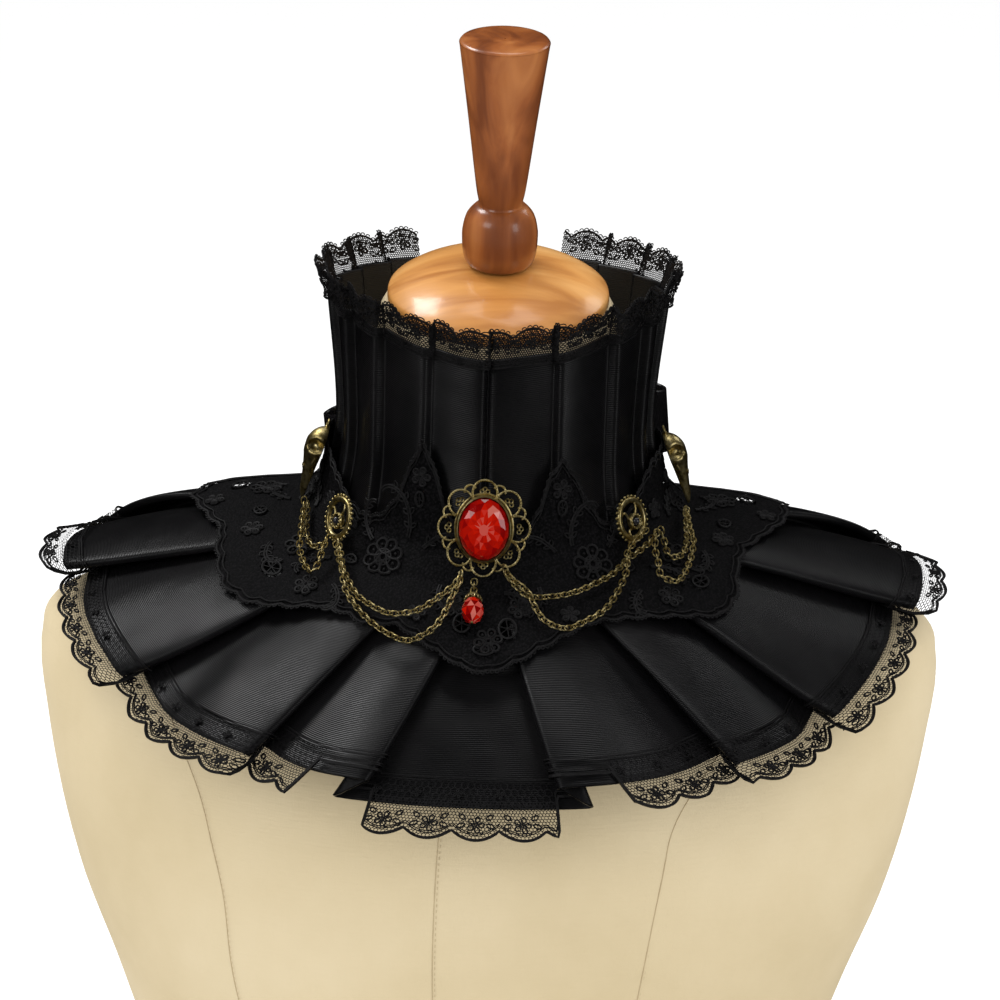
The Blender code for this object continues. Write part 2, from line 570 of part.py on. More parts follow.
# The hanging chains: azimuth, reach up from the seam and stand-off from the pleat crests at points along each
CHAINS = {
    "chain_right_upper": (
        (4.0, -0.001, 0.0085), (6.0, -0.006, 0.0070), (10.0, -0.014, 0.0060), (16.0, -0.0155, 0.0060),
        (22.0, -0.015, 0.0060), (29.0, -0.012, 0.0060), (35.0, -0.009, 0.0060), (42.0, -0.004, 0.0060),
        (47.5, -0.002, 0.0065), (52.5, 0.000, 0.0070), (57.0, 0.003, 0.0075),
    ),
    "chain_right_lower": (
        (3.5, 0.001, 0.0120), (5.5, -0.005, 0.0105), (9.5, -0.0125, 0.0092), (11.0, -0.020, 0.0070),
        (13.0, -0.0275, 0.0060), (17.0, -0.0325, 0.0060), (22.0, -0.0305, 0.0060), (27.5, -0.0265, 0.0060),
        (33.5, -0.018, 0.0060), (38.0, -0.010, 0.0080), (41.0, -0.002, 0.0095), (46.0, 0.003, 0.0105),
        (51.5, 0.006, 0.0115),
    ),
    "chain_right_inner": (
        (60.5, 0.004, 0.0070), (58.5, -0.003, 0.0060), (56.0, -0.009, 0.0056), (57.0, -0.0125, 0.0055),
        (60.0, -0.0125, 0.0060), (65.0, -0.009, 0.0060), (70.0, -0.005, 0.0060), (75.0, -0.001, 0.0065),
        (78.5, 0.002, 0.0070),
    ),
    "chain_right_outer": (
        (55.5, 0.004, 0.0115), (51.5, -0.003, 0.0095), (49.0, -0.011, 0.0075), (47.0, -0.018, 0.0060),
        (49.0, -0.0235, 0.0060), (52.5, -0.0225, 0.0060), (59.0, -0.017, 0.0065), (64.0, -0.011, 0.0085),
        (67.0, -0.006, 0.0095), (72.0, -0.001, 0.0100), (76.0, 0.003, 0.0105),
    ),
    "chain_left_upper": (
        (-8.0, -0.003, 0.0065), (-9.5, -0.0085, 0.0060), (-13.0, -0.017, 0.0060), (-17.0, -0.025, 0.0060),
        (-22.0, -0.029, 0.0060), (-26.0, -0.0285, 0.0060), (-32.0, -0.025, 0.0060), (-37.0, -0.019, 0.0060),
        (-42.0, -0.013, 0.0060), (-47.0, -0.007, 0.0060), (-50.0, -0.003, 0.0065),
    ),
    "chain_left_lower": (
        (-8.0, -0.002, 0.0100), (-8.0, -0.008, 0.0095), (-9.0, -0.014, 0.0085), (-10.5, -0.024, 0.0060),
        (-12.5, -0.033, 0.0060), (-16.5, -0.040, 0.0060), (-20.5, -0.0395, 0.0060), (-26.0, -0.0355, 0.0060),
        (-32.0, -0.029, 0.0062), (-35.5, -0.023, 0.0085), (-40.0, -0.013, 0.0095), (-44.5, -0.006, 0.0095),
        (-48.0, -0.002, 0.0097),
    ),
    "chain_left_inner": (
        (-53.5, -0.004, 0.0060), (-54.0, -0.0095, 0.0055), (-57.5, -0.010, 0.0055), (-62.0, -0.007, 0.0058),
        (-66.0, -0.003, 0.0060), (-70.0, 0.001, 0.0065), (-72.5, 0.004, 0.0070),
    ),
    "chain_left_outer": (
        (-51.5, -0.003, 0.0100), (-49.0, -0.011, 0.0085), (-47.5, -0.019, 0.0060), (-48.0, -0.0225, 0.0060),
        (-52.0, -0.020, 0.0060), (-57.0, -0.015, 0.0065), (-60.0, -0.009, 0.0085), (-64.0, -0.004, 0.0095),
        (-69.0, 0.001, 0.0100), (-72.0, 0.005, 0.0105),
    ),
}
CHAIN_STEP = 0.0055  # distance between the points of a chain's tube


def curve_through(points, spacing):
    """Points at an even spacing on a smooth curve through the given ones."""
    points = np.asarray(points, float)
    points = np.vstack([2 * points[:1] - points[1:2], points, 2 * points[-1:] - points[-2:-1]])
    found = []
    for i in range(1, len(points) - 2):
        a, b, c, d = points[i - 1 : i + 3]
        for t in np.linspace(0, 1, 8, endpoint=False):
            bend = (2 * a - 5 * b + 4 * c - d) * t * t + (3 * b - a - 3 * c + d) * t**3
            found.append(0.5 * (2 * b + (c - a) * t + bend))
    found.append(points[-2])
    found = np.array(found)
    arc = np.concatenate([[0.0], np.cumsum(np.linalg.norm(np.diff(found, axis=0), axis=1))])
    at = np.linspace(0, arc[-1], int(round(arc[-1] / spacing)) + 1)
    return np.stack([np.interp(at, arc, found[:, k]) for k in range(3)], axis=1)


def facing(points, centre, azimuth, lean):
    """Points given as right, up and out, set on a plate that faces an azimuth and leans up."""
    a, e = math.radians(azimuth), math.radians(lean)
    out = np.array([math.sin(a) * math.cos(e), -math.cos(a) * math.cos(e), math.sin(e)])
    right = np.array([math.cos(a), math.sin(a), 0.0])
    up = np.cross(out, right)
    points = np.asarray(points, float)
    turned = points[..., :1] * right + points[..., 1:2] * up + points[..., 2:3] * out
    return turned + (centre[0], centre[1], NECK_Z + centre[2])


def lobed(angle):
    """Share of full reach of an outline of eight wide lobes with eight small ones between them."""
    reach = 0.0
    for count, start, middle, radius in ((8, 0.0, 0.71, 0.29), (8, 0.5, 0.80, 0.15)):
        step = 2 * math.pi / count
        away = (angle / step - start + 0.5) % 1 - 0.5
        turn = away * step
        inside = radius * radius - (middle * math.sin(turn)) ** 2
        if inside > 0:
            reach = max(reach, middle * math.cos(turn) + math.sqrt(inside))
    return reach


def oval(half, height, around):
    turn = [2 * math.pi * i / around for i in range(around)]
    return [(half[0] * math.sin(t), half[1] * math.cos(t), height) for t in turn]


def petals(share, height, around):
    ring = []
    for i in range(around):
        t = 2 * math.pi * i / around
        reach = share * lobed(t)
        ring.append((SETTING_SIZE[0] * reach * math.sin(t), SETTING_SIZE[1] * reach * math.cos(t), height))
    return ring


def toothed(radius, root, height):
    ring = []
    for i in range(2 * GEAR_TEETH):
        t = math.pi * i / GEAR_TEETH
        reach = root if i % 2 else radius
        ring.append((reach * math.sin(t), reach * math.cos(t), height))
    return ring


def chain(name, route, made_of):
    """A hanging chain as one round tube."""
    path = curve_through([cover_point(*stop) for stop in route], CHAIN_STEP)
    curve = bpy.data.curves.new(name, "CURVE")
    curve.dimensions = "3D"
    curve.bevel_depth = CHAIN_RADIUS
    curve.bevel_resolution = 1
    curve.use_fill_caps = True
    spline = curve.splines.new("POLY")
    spline.points.add(len(path) - 1)
    for point, place_at in zip(spline.points, path):
        point.co = (*place_at, 1.0)
    curve.materials.append(made_of)
    return link(bpy.data.objects.new(name, curve))


def cut(target, cutter):
    """The cutter's shape is taken out of the target."""
    hidden = collection("cutters")
    hidden.hide_render = True
    hidden.objects.link(cutter)
    cutter.hide_render = True
    cutter.display_type = "WIRE"
    change = target.modifiers.new("cut", "BOOLEAN")
    change.operation = "DIFFERENCE"
    change.solver = "EXACT"
    change.object = cutter


# Ribbon

BOW_CENTRE = (0.0, 0.0889, 0.0140)
BOW_ROLL = 6.0
RIBBON = 0.0011
# One loop seen from above: reach sideways, depth, half height of the band
LOOP = (
    (0.0090, -0.0030, 0.0080), (0.0200, -0.0072, 0.0105), (0.0400, -0.0105, 0.0140), (0.0640, -0.0085, 0.0155),
    (0.0800, -0.0020, 0.0160), (0.0870, 0.0095, 0.0160), (0.0800, 0.0190, 0.0160), (0.0640, 0.0190, 0.0155),
    (0.0400, 0.0135, 0.0140), (0.0200, 0.0075, 0.0105), (0.0090, 0.0030, 0.0080),
)
KNOT = (0.0088, 0.0078, 0.0120)  # half sizes
# Tail rows: h below the bow, middle x, y, half width
TAIL = (
    (0.0017, 0.0045, 0.0893, 0.0080), (-0.026, 0.012, 0.0945, 0.0150), (-0.058, 0.019, 0.1085, 0.0175),
    (-0.094, 0.025, 0.1165, 0.0180), (-0.130, 0.030, 0.1190, 0.0180), (-0.160, 0.034, 0.1180, 0.0180),
)
LOOP_DROOP = 0.008
BAND = (0.0805, 0.005, 0.027)  # radius, lower and upper edge h


def rolled(points):
    t = math.radians(BOW_ROLL)
    points = np.asarray(points, float)
    x = points[..., 0] * math.cos(t) - points[..., 2] * math.sin(t)
    z = points[..., 0] * math.sin(t) + points[..., 2] * math.cos(t)
    moved = np.stack([x, points[..., 1], z], axis=-1)
    return moved + (BOW_CENTRE[0], BOW_CENTRE[1], NECK_Z + BOW_CENTRE[2])


def ribbon_loop(name, sign, made_of):
    line = np.array([(x, y) for x, y, _ in LOOP])
    nxt, prv = np.roll(line, -1, axis=0), np.roll(line, 1, axis=0)
    way = nxt - prv
    way /= np.linalg.norm(way, axis=1)[:, None]
    out = np.stack([way[:, 1], -way[:, 0]], axis=1)
    inner = line - out * RIBBON
    rings = []
    for i, (_, _, half) in enumerate(LOOP):
        x, y = line[i]
        u, v = inner[i]
        droop = LOOP_DROOP * (x / 0.087) ** 3
        ring = [(sign * x, y, half - droop), (sign * u, v, half - droop)]
        ring += [(sign * u, v, -half - droop), (sign * x, y, -half - droop)]
        rings.append(ring)
    points = rolled(rings).reshape(-1, 3)
    count = len(LOOP)
    faces = []
    for r in range(count):
        for c in range(4):
            n, m = (r + 1) % count, (c + 1) % 4
            faces.append((r * 4 + c, r * 4 + m, n * 4 + m, n * 4 + c))
    return add(name, points, faces, made_of)


def ribbon_tail(name, sign, made_of):
    outer, inner = [], []
    for i, (h, x, y, half) in enumerate(TAIL):
        a_row, b_row = [], []
        for share in (-1.0, -0.4, 0.4, 1.0):
            wave = 0.0016 * math.sin(2.2 * share + i * 1.3)
            cut_end = 0.012 * (share * 0.5 + 0.5) if i == len(TAIL) - 1 else 0.0
            point = (sign * (x + 0.004) + half * share, y + wave, NECK_Z + h + cut_end)
            a_row.append((point[0], point[1] + RIBBON, point[2]))
            b_row.append(point)
        outer.append(a_row)
        inner.append(b_row)
    return wall(name, outer, inner, made_of)


def ribbon_knot(made_of):
    mesh = bpy.data.meshes.new("ribbon_knot")
    shape = bmesh.new()
    bmesh.ops.create_uvsphere(shape, u_segments=12, v_segments=8, radius=1.0)
    shape.to_mesh(mesh)
    shape.free()
    mesh.materials.append(made_of)
    obj = link(bpy.data.objects.new("ribbon_knot", mesh))
    obj.scale = KNOT
    obj.rotation_euler = (0.0, -math.radians(BOW_ROLL), 0.0)
    obj.location = (BOW_CENTRE[0], BOW_CENTRE[1], NECK_Z + BOW_CENTRE[2])


def ribbon_band(made_of):
    sides = []
    for radius in (BAND[0], BAND[0] - RIBBON):
        azimuths = np.linspace(144.0, 219.0, 14)
        low = place(np.float64(radius), azimuths, BAND[1] + 0 * azimuths)
        high = place(np.float64(radius), azimuths, BAND[2] + 0 * azimuths)
        sides.append(np.stack([low, high], axis=1))
    wall("ribbon_band", sides[0], sides[1], made_of)


def brooch(metal, glass):
    around = 48
    rings = [petals(0.999, 0.0, around), petals(1.0, 0.0016, around), petals(0.93, 0.0022, around)]
    rings += [oval(BEZEL_OUTER, 0.0016, around), oval(BEZEL_OUTER, 0.0048, around)]
    rings += [oval(BEZEL_INNER, 0.0051, around), oval(BEZEL_INNER, 0.0012, around)]
    rings_body("brooch_setting", facing(rings, SETTING_CENTRE, 0.0, SETTING_LEAN), metal)
    stone = [oval((x, y), z, 16) for x, y, z in GEM]
    rings_body("brooch_gem", facing(stone, SETTING_CENTRE, 0.0, SETTING_LEAN), glass)


def pendant(metal, glass):
    axis = np.array(DROP_MIDDLE) - np.array(DROP_TOP)
    turned("drop_cap", DROP_CAP, 10, DROP_TOP, axis, metal)
    turned("drop_bead", DROP_BEAD, 10, DROP_TOP, axis, glass)


def gears(metal):
    for name, (centre, azimuth, lean) in GEARS.items():
        rings = [toothed(*level) for level in GEAR]
        rings_body(name, facing(rings, centre, azimuth, lean), metal)


def skull_ring(y, half, depth):
    """One section of a charm: round in front, nearly flat behind."""
    ring = []
    for i in range(10):
        t = 2 * math.pi * i / 10
        rise = math.sin(t) if math.sin(t) > 0 else 0.1 * math.sin(t)
        ring.append((half * math.cos(t), y, depth * rise))
    return ring


def eye_cutter(name, centre, azimuth, lean):
    """A rod across the charm, through both of its eyes."""
    mesh = bpy.data.meshes.new(name)
    shape = bmesh.new()
    bmesh.ops.create_cone(
        shape, cap_ends=True, segments=12, radius1=EYE_RADIUS, radius2=EYE_RADIUS, depth=EYE_REACH
    )
    shape.to_mesh(mesh)
    shape.free()
    obj = bpy.data.objects.new(name, mesh)
    obj.location = facing([EYE_PLACE], centre, azimuth, lean)[0]
    across = (math.cos(math.radians(azimuth)), math.sin(math.radians(azimuth)), 0.0)
    obj.rotation_euler = Vector(across).to_track_quat("Z", "Y").to_euler()
    return obj


def skulls(metal):
    for name, (centre, azimuth, lean) in SKULLS.items():
        rings = [skull_ring(*section) for section in SKULL_SECTIONS]
        body = rings_body(name, facing(rings, centre, azimuth, lean), metal)
        cut(body, eye_cutter(name + "_eye_cutter", centre, azimuth, lean))


def collar_cloth(black, lace):
    wall("neck_stand", stand_points(CLOTH / 2), stand_points(-CLOTH / 2), black)
    outer = [ruffle_row(s, CLOTH / 2) for s in RUFFLE_ROWS]
    inner = [ruffle_row(s, -CLOTH / 2) for s in RUFFLE_ROWS]
    wall("shoulder_ruffle", outer, inner, black)
    outer, inner = hem_lace_grids(HEM_LACE_STEP)
    wall("hem_lace", outer, inner, lace)
    outer, inner = neck_lace_grids(NECK_LACE_STEP)
    wall("neck_lace", outer, inner, lace)
    outer, inner = applique_grids()
    wall("yoke_applique", outer, inner, lace, APPLIQUE_HOLES)


def bow(satin):
    ribbon_loop("ribbon_loop_right", 1.0, satin)
    ribbon_loop("ribbon_loop_left", -1.0, satin)
    ribbon_knot(satin)
    ribbon_tail("ribbon_tail_right", 1.0, satin)
    ribbon_tail("ribbon_tail_left", -1.0, satin)
    ribbon_band(satin)


def dress_form(linen, cap_wood, finial_wood):
    torso = rings_body("form_torso", [torso_ring(row) for row in TORSO], linen)
    torso.data.shade_smooth()
    torso.data.set_sharp_from_angle(angle=math.radians(50))
    lean = math.radians(CAP_TILT)
    axis = (0.0, -math.sin(lean), math.cos(lean))
    turned("neck_cap", CAP, 36, CAP_CENTRE, axis, cap_wood)
    turned("finial", FINIAL, 24, CAP_CENTRE, axis, finial_wood)


def build():
    for obj in list(bpy.data.objects):
        bpy.data.objects.remove(obj, do_unlink=True)
    black = material("black_faille", (0.018, 0.017, 0.021), 0.0, 0.38)
    lace = material("black_lace", (0.020, 0.018, 0.024), 0.0, 0.75)
    bronze = material("aged_bronze", (0.36, 0.27, 0.13), 1.0, 0.42)
    glass = material("red_glass", (0.62, 0.02, 0.015), 0.0, 0.08)
    satin = material("satin_ribbon", (0.016, 0.015, 0.018), 0.0, 0.30)
    linen = material("cream_linen", (0.80, 0.73, 0.60), 0.0, 0.90)
    cap_wood = material("cap_wood", (0.72, 0.47, 0.25), 0.0, 0.35)
    finial_wood = material("finial_wood", (0.60, 0.36, 0.19), 0.0, 0.30)
    collar_cloth(black, lace)
    brooch(bronze, glass)
    pendant(bronze, glass)
    gears(bronze)
    skulls(bronze)
    for name, route in CHAINS.items():
        chain(name, route, bronze)
    bow(satin)
    dress_form(linen, cap_wood, finial_wood)


build()
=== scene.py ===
"""Looks of a pleated shoulder collar with lace, charms and chains on a dress form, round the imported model.

Metres, +Z up, the front faces -Y. Azimuths are in degrees round the neck axis, 0 at the front, plus to +X.
"""

import math

import bpy
import numpy as np
from mathutils import Matrix


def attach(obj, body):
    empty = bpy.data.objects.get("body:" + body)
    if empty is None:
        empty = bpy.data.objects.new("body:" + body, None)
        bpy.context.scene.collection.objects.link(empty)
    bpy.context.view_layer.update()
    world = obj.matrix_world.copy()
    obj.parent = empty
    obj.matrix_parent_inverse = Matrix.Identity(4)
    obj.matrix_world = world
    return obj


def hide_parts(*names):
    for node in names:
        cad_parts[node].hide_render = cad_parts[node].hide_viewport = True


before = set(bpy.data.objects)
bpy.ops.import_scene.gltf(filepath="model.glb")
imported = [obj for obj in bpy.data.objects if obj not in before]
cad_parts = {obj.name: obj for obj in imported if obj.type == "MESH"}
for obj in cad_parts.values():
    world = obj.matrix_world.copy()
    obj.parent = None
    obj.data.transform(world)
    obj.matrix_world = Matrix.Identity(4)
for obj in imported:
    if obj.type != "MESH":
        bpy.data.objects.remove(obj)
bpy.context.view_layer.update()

NECK_Z = 0.450
CLOTH = 0.0010
SEAM_GAP = 0.0003
LACE_GAP = 0.0010
BACK_LEFT = -148.0
BACK_RIGHT = 156.0

# Meridians of the stand: azimuth, h of lower edge, h of upper edge, radius at the rows
STAND_ROWS = (0.0, 0.16, 0.45, 1.0)
STAND = (
    (-150.0, 0.000, 0.1020, 0.0745, 0.0690, 0.0650, 0.0690),
    (-90.0, -0.004, 0.1000, 0.0820, 0.0735, 0.0675, 0.0725),
    (-48.0, -0.008, 0.0910, 0.0760, 0.0700, 0.0665, 0.0665),
    (0.0, -0.010, 0.0825, 0.0735, 0.0685, 0.0655, 0.0640),
    (48.0, -0.008, 0.0910, 0.0760, 0.0700, 0.0665, 0.0665),
    (90.0, -0.004, 0.1000, 0.0820, 0.0735, 0.0675, 0.0725),
    (158.0, 0.000, 0.1030, 0.0745, 0.0690, 0.0650, 0.0690),
)
STAND_FOLDS_RIGHT = (24.0, 48.0, 67.0, 84.0, 102.0, 121.0, 140.0)
STAND_FOLDS_LEFT = (4.6, 26.0, 48.0, 66.0, 83.0, 101.0, 119.0, 135.0)
STAND_PLEAT = (0.0044, 0.0050, 0.0052, 0.0050)  # pleat height at the rows

# The ruffle's lowest pleat level: azimuth, hem radius, hem h, arch of the meridian
RUFFLE_ROWS = (0.0, 0.06, 0.30, 0.60, 0.86, 1.0)
RUFFLE = (
    (-150.0, 0.158, -0.090, 0.006),
    (-128.0, 0.182, -0.074, 0.007),
    (-101.0, 0.201, -0.040, 0.008),
    (-75.0, 0.180, -0.059, 0.008),
    (-55.0, 0.162, -0.080, 0.008),
    (-25.0, 0.147, -0.0845, 0.0061),
    (0.0, 0.139, -0.0855, 0.0047),
    (25.0, 0.149, -0.0835, 0.0061),
    (55.0, 0.161, -0.081, 0.008),
    (75.0, 0.180, -0.060, 0.008),
    (101.0, 0.204, -0.042, 0.008),
    (128.0, 0.184, -0.074, 0.007),
    (158.0, 0.158, -0.092, 0.006),
)
# Fold edges: azimuth at the seam, azimuth at the hem, counted from the front on each side
FOLDS_RIGHT = (
    (3.0, 12.6), (22.0, 41.5), (42.0, 62.0), (66.0, 86.0), (90.0, 109.0), (113.0, 129.0), (136.0, 145.0),
)
FOLDS_LEFT = (
    (4.4, 19.2), (21.0, 39.0), (44.0, 66.0), (67.0, 89.0), (90.0, 110.0), (112.0, 128.0), (131.0, 140.0),
)
PLEAT_SEAM = (0.0046, 0.0040, 0.00115, 0.00115)  # height, underlap, inner fold radius, outer fold radius
PLEAT_HEM = (0.0120, 0.0100, 0.0028, 0.0022)
FRONT_DROP = 0.0070  # how much lower the front panel's hem hangs than its neighbours'
TUCK = 0.0085  # how far each other panel's hem is drawn up where it runs under the next one
# Soft creases of the ruffle: azimuth at the hem, lean towards the seam, first and last share, width, depth
CREASES = (
    (-47.0, 9.0, 0.35, 1.15, 4.0, 0.0016), (-28.0, -5.0, 0.45, 1.2, 3.5, -0.0012),
    (-6.0, 2.0, 0.25, 0.9, 3.0, 0.0008), (4.0, -3.0, 0.5, 1.2, 3.0, -0.0008),
    (22.0, 4.0, 0.4, 1.1, 3.5, 0.0013), (33.0, 2.0, 0.2, 0.8, 2.6, -0.0010),
    (52.0, 6.0, 0.35, 1.2, 4.0, 0.0016), (74.0, 8.0, 0.3, 1.0, 4.5, -0.0016),
    (97.0, 5.0, 0.3, 1.2, 4.0, 0.0018), (-77.0, -7.0, 0.3, 1.1, 4.2, 0.0018),
    (-98.0, -5.0, 0.35, 1.2, 4.0, -0.0016), (119.0, 3.0, 0.4, 1.1, 3.2, 0.0012),
    (-119.0, -3.0, 0.4, 1.1, 3.2, -0.0012), (-57.0, -4.0, 0.55, 1.2, 2.6, -0.0010),
    (81.0, 3.0, 0.55, 1.2, 2.4, 0.0010),
)
# Lace edgings: scallop repeat and depth, reach past the cloth, overlap on it, net thread width
HEM_SCALLOP = (0.018, 0.0042)
HEM_LACE_BELOW = 0.0095
HEM_OVERLAP = 0.0130
HEM_THREAD = 0.00034
NECK_SCALLOP = (0.0145, 0.0036)
NECK_LACE_ABOVE = 0.0095
NECK_OVERLAP = 0.0035
NECK_THREAD = 0.00050
LACE_LIFT = CLOTH / 2 + LACE_GAP + 0.0002  # from the middle of the cloth to the middle of the lace
# Nets of the edgings: low edge, high edge, pitch
HEM_NETS = ((-HEM_OVERLAP, -0.0040, 0.0030), (-0.0040, HEM_LACE_BELOW + HEM_SCALLOP[1], 0.0014))
NECK_NETS = ((-NECK_OVERLAP, NECK_LACE_ABOVE + NECK_SCALLOP[1], 0.0010),)
BARE_HEM = 0.028  # stretch beside each fold of the front panel where no lace shows
# A picot's loop and the bar behind it, along and out from the rim
PICOT_LOOP = ((-0.0009, 0.0), (-0.0006, 0.0009), (0.0006, 0.0009), (0.0009, 0.0))
PICOT_BAR = ((0.0, -0.0004), (0.0005, -0.0016), (0.0012, -0.0026))


def put_camera():
    """The photograph's view: 17 degrees down on the collar, rolled a little."""
    down, level = 0.2924, 0.9563  # sine and cosine of the 17 degrees
    roll = math.radians(1.6)
    distance = 1.050
    aside = 0.0033
    camera = bpy.data.objects.new("camera", bpy.data.cameras.new("camera"))
    right = (math.cos(roll), down * math.sin(roll), level * math.sin(roll))
    up = (-math.sin(roll), down * math.cos(roll), level * math.cos(roll))
    back = (0.0, -level, down)
    turn = Matrix((right, up, back)).transposed().to_4x4()
    turn.translation = (aside, -distance * level, NECK_Z + distance * down)
    camera.matrix_world = turn
    camera.data.lens = 81.29
    camera.data.sensor_width = 36.0
    camera.data.clip_start = 0.05
    camera.data.clip_end = 60.0
    bpy.context.scene.collection.objects.link(camera)
    bpy.context.scene.camera = camera


put_camera()
bpy.context.scene.view_settings.view_transform = "Standard"


# Number helpers


def smooth(x, xs, ys):
    """A smooth curve through table points that never overshoots them."""
    x = np.clip(np.asarray(x, float), xs[0], xs[-1])
    xs, ys = np.asarray(xs, float), np.asarray(ys, float)
    step = np.diff(xs)
    rise = np.diff(ys) / step
    slope = np.zeros(len(xs))
    slope[0], slope[-1] = rise[0], rise[-1]
    for i in range(1, len(xs) - 1):
        if rise[i - 1] * rise[i] > 0:
            slope[i] = 2 * rise[i - 1] * rise[i] / (rise[i - 1] + rise[i])
    k = np.clip(np.searchsorted(xs, x, side="right") - 1, 0, len(xs) - 2)
    t = (x - xs[k]) / step[k]
    return (
        ys[k] * (1 + 2 * t) * (1 - t) ** 2
        + slope[k] * step[k] * t * (1 - t) ** 2
        + ys[k + 1] * t * t * (3 - 2 * t)
        + slope[k + 1] * step[k] * t * t * (t - 1)
    )


def column(table, index):
    return [row[index] for row in table]


def place(radius, azimuth, h):
    angle = np.radians(azimuth)
    return np.stack([radius * np.sin(angle), -radius * np.cos(angle), NECK_Z + h + 0 * radius], axis=-1)


def unit(vectors):
    vectors = np.asarray(vectors, float)
    return vectors / np.maximum(np.linalg.norm(vectors, axis=-1, keepdims=True), 1e-12)


def travel(points):
    """Length run along a row of points."""
    return np.concatenate([[0.0], np.cumsum(np.linalg.norm(np.diff(points, axis=0), axis=1))])


def curve_through(points, spacing, closed=False):
    """Points at an even spacing on a smooth curve through the given ones."""
    points = np.asarray(points, float)
    if closed:
        points = np.vstack([points[-1:], points, points[:2]])
    else:
        points = np.vstack([2 * points[:1] - points[1:2], points, 2 * points[-1:] - points[-2:-1]])
    found = []
    for i in range(1, len(points) - 2):
        a, b, c, d = points[i - 1 : i + 3]
        for t in np.linspace(0, 1, 8, endpoint=False):
            along = 2 * b + (c - a) * t
            along = along + (2 * a - 5 * b + 4 * c - d) * t * t
            along = along + (3 * b - a - 3 * c + d) * t**3
            found.append(0.5 * along)
    found.append(points[-2])
    found = np.array(found)
    arc = travel(found)
    count = max(2, int(round(arc[-1] / spacing)) + 1)
    at = np.linspace(0, arc[-1], count)
    return np.stack([np.interp(at, arc, found[:, k]) for k in range(found.shape[1])], axis=1)


def offset_line(line, distance):
    """The polyline moved sideways to its left by the distance, mitred at its corners."""
    line = np.asarray(line, float)
    along = unit(np.diff(line, axis=0))
    left = np.stack([-along[:, 1], along[:, 0]], axis=1)
    first = np.vstack([left[:1], left])
    second = np.vstack([left, left[-1:]])
    middle = unit(first + second)
    stretch = 1 / np.clip((middle * second).sum(axis=1), 0.6, 1)
    return line + middle * (distance * stretch)[:, None]


# Surfaces of the cloth, the same as the model's


def stand_meridian(azimuth, row):
    low = smooth(azimuth, column(STAND, 0), column(STAND, 1))
    high = smooth(azimuth, column(STAND, 0), column(STAND, 2))
    return smooth(azimuth, column(STAND, 0), column(STAND, 3 + row)), low + (high - low) * STAND_ROWS[row]


def arc_table(radii_and_h):
    """Arc length along a row of points, 0 at azimuth 0."""
    azimuths = np.linspace(-160, 165, 651)
    radius, h = radii_and_h(azimuths)
    arcs = travel(place(radius, azimuths, h))
    return azimuths, arcs - np.interp(0, azimuths, arcs)


def stand_profile(row):
    azimuths, arcs = arc_table(lambda az: stand_meridian(az, row))
    height = STAND_PLEAT[row]

    def side(folds, end, sign):
        edges = [abs(float(np.interp(sign * fold, azimuths, arcs))) for fold in folds]
        last = abs(float(np.interp(end, azimuths, arcs)))
        line = [(0.0, height * 0.55)]
        for i, edge in enumerate(edges):
            width = (edges[i + 1] if i + 1 < len(edges) else last) - edge
            line += [(edge - min(0.0042, edge * 0.6), 0.0008), (edge - 0.0014, 0.0)]
            line += [(edge - 0.0008, height * 0.92), (edge + 0.0010, height)]
            line += [(edge + width * 0.40, height * 0.72)]
        line.append((last, height * 0.25))
        return line

    right = side(STAND_FOLDS_RIGHT, BACK_RIGHT, 1)
    left = side(STAND_FOLDS_LEFT, BACK_LEFT, -1)
    return np.array([(-a, z) for a, z in reversed(left[1:])] + right), azimuths, arcs


def stand_points(offset):
    """Grid of points of the stand's pleated sheet, moved outwards by the offset."""
    grid = []
    for row in range(len(STAND_ROWS)):
        line, azimuths, arcs = stand_profile(row)
        line = offset_line(line, offset)
        azimuth = np.interp(line[:, 0], arcs, azimuths)
        radius, h = stand_meridian(azimuth, row)
        grid.append(place(radius + line[:, 1], azimuth, h))
    return np.array(grid)


def ruffle_meridian(azimuth, s):
    """Radius, h and the outward direction of the lowest pleat level at a share s of the way to the hem."""
    seam_r, seam_h = stand_meridian(azimuth, 0)
    seam_h = seam_h - SEAM_GAP
    hem_r = smooth(azimuth, column(RUFFLE, 0), column(RUFFLE, 1))
    hem_h = smooth(azimuth, column(RUFFLE, 0), column(RUFFLE, 2))
    arch = smooth(azimuth, column(RUFFLE, 0), column(RUFFLE, 3))
    turn_r, turn_h = seam_r + 0.003, seam_h - 0.005
    first, straight = RUFFLE_ROWS[1], RUFFLE_ROWS[4]
    if s <= first:
        k = s / first
        out = math.radians(45.0 * k)
        return seam_r + (turn_r - seam_r) * k, seam_h + (turn_h - seam_h) * k, math.cos(out), math.sin(out)
    k = (s - first) / (1 - first)
    bend = (straight - first) / (1 - first)
    if k <= bend:
        bulge, tilt = 4 * k * (1 - k), 4 * (1 - 2 * k)
    else:
        bulge, tilt = 4 * bend * (1 - bend) + 4 * (1 - 2 * bend) * (k - bend), 4 * (1 - 2 * bend)
    dr, dh = hem_r - turn_r, hem_h - turn_h
    size = np.hypot(dr, dh)
    nr, nh = -dh / size, dr / size
    radius = turn_r + dr * k + nr * arch * bulge
    h = turn_h + dh * k + nh * arch * bulge
    tr, th = dr + nr * arch * tilt, dh + nh * arch * tilt
    size = np.hypot(tr, th)
    return radius, h, -th / size, tr / size


def pleat_sizes(s):
    return [a + (b - a) * s for a, b in zip(PLEAT_SEAM, PLEAT_HEM)]


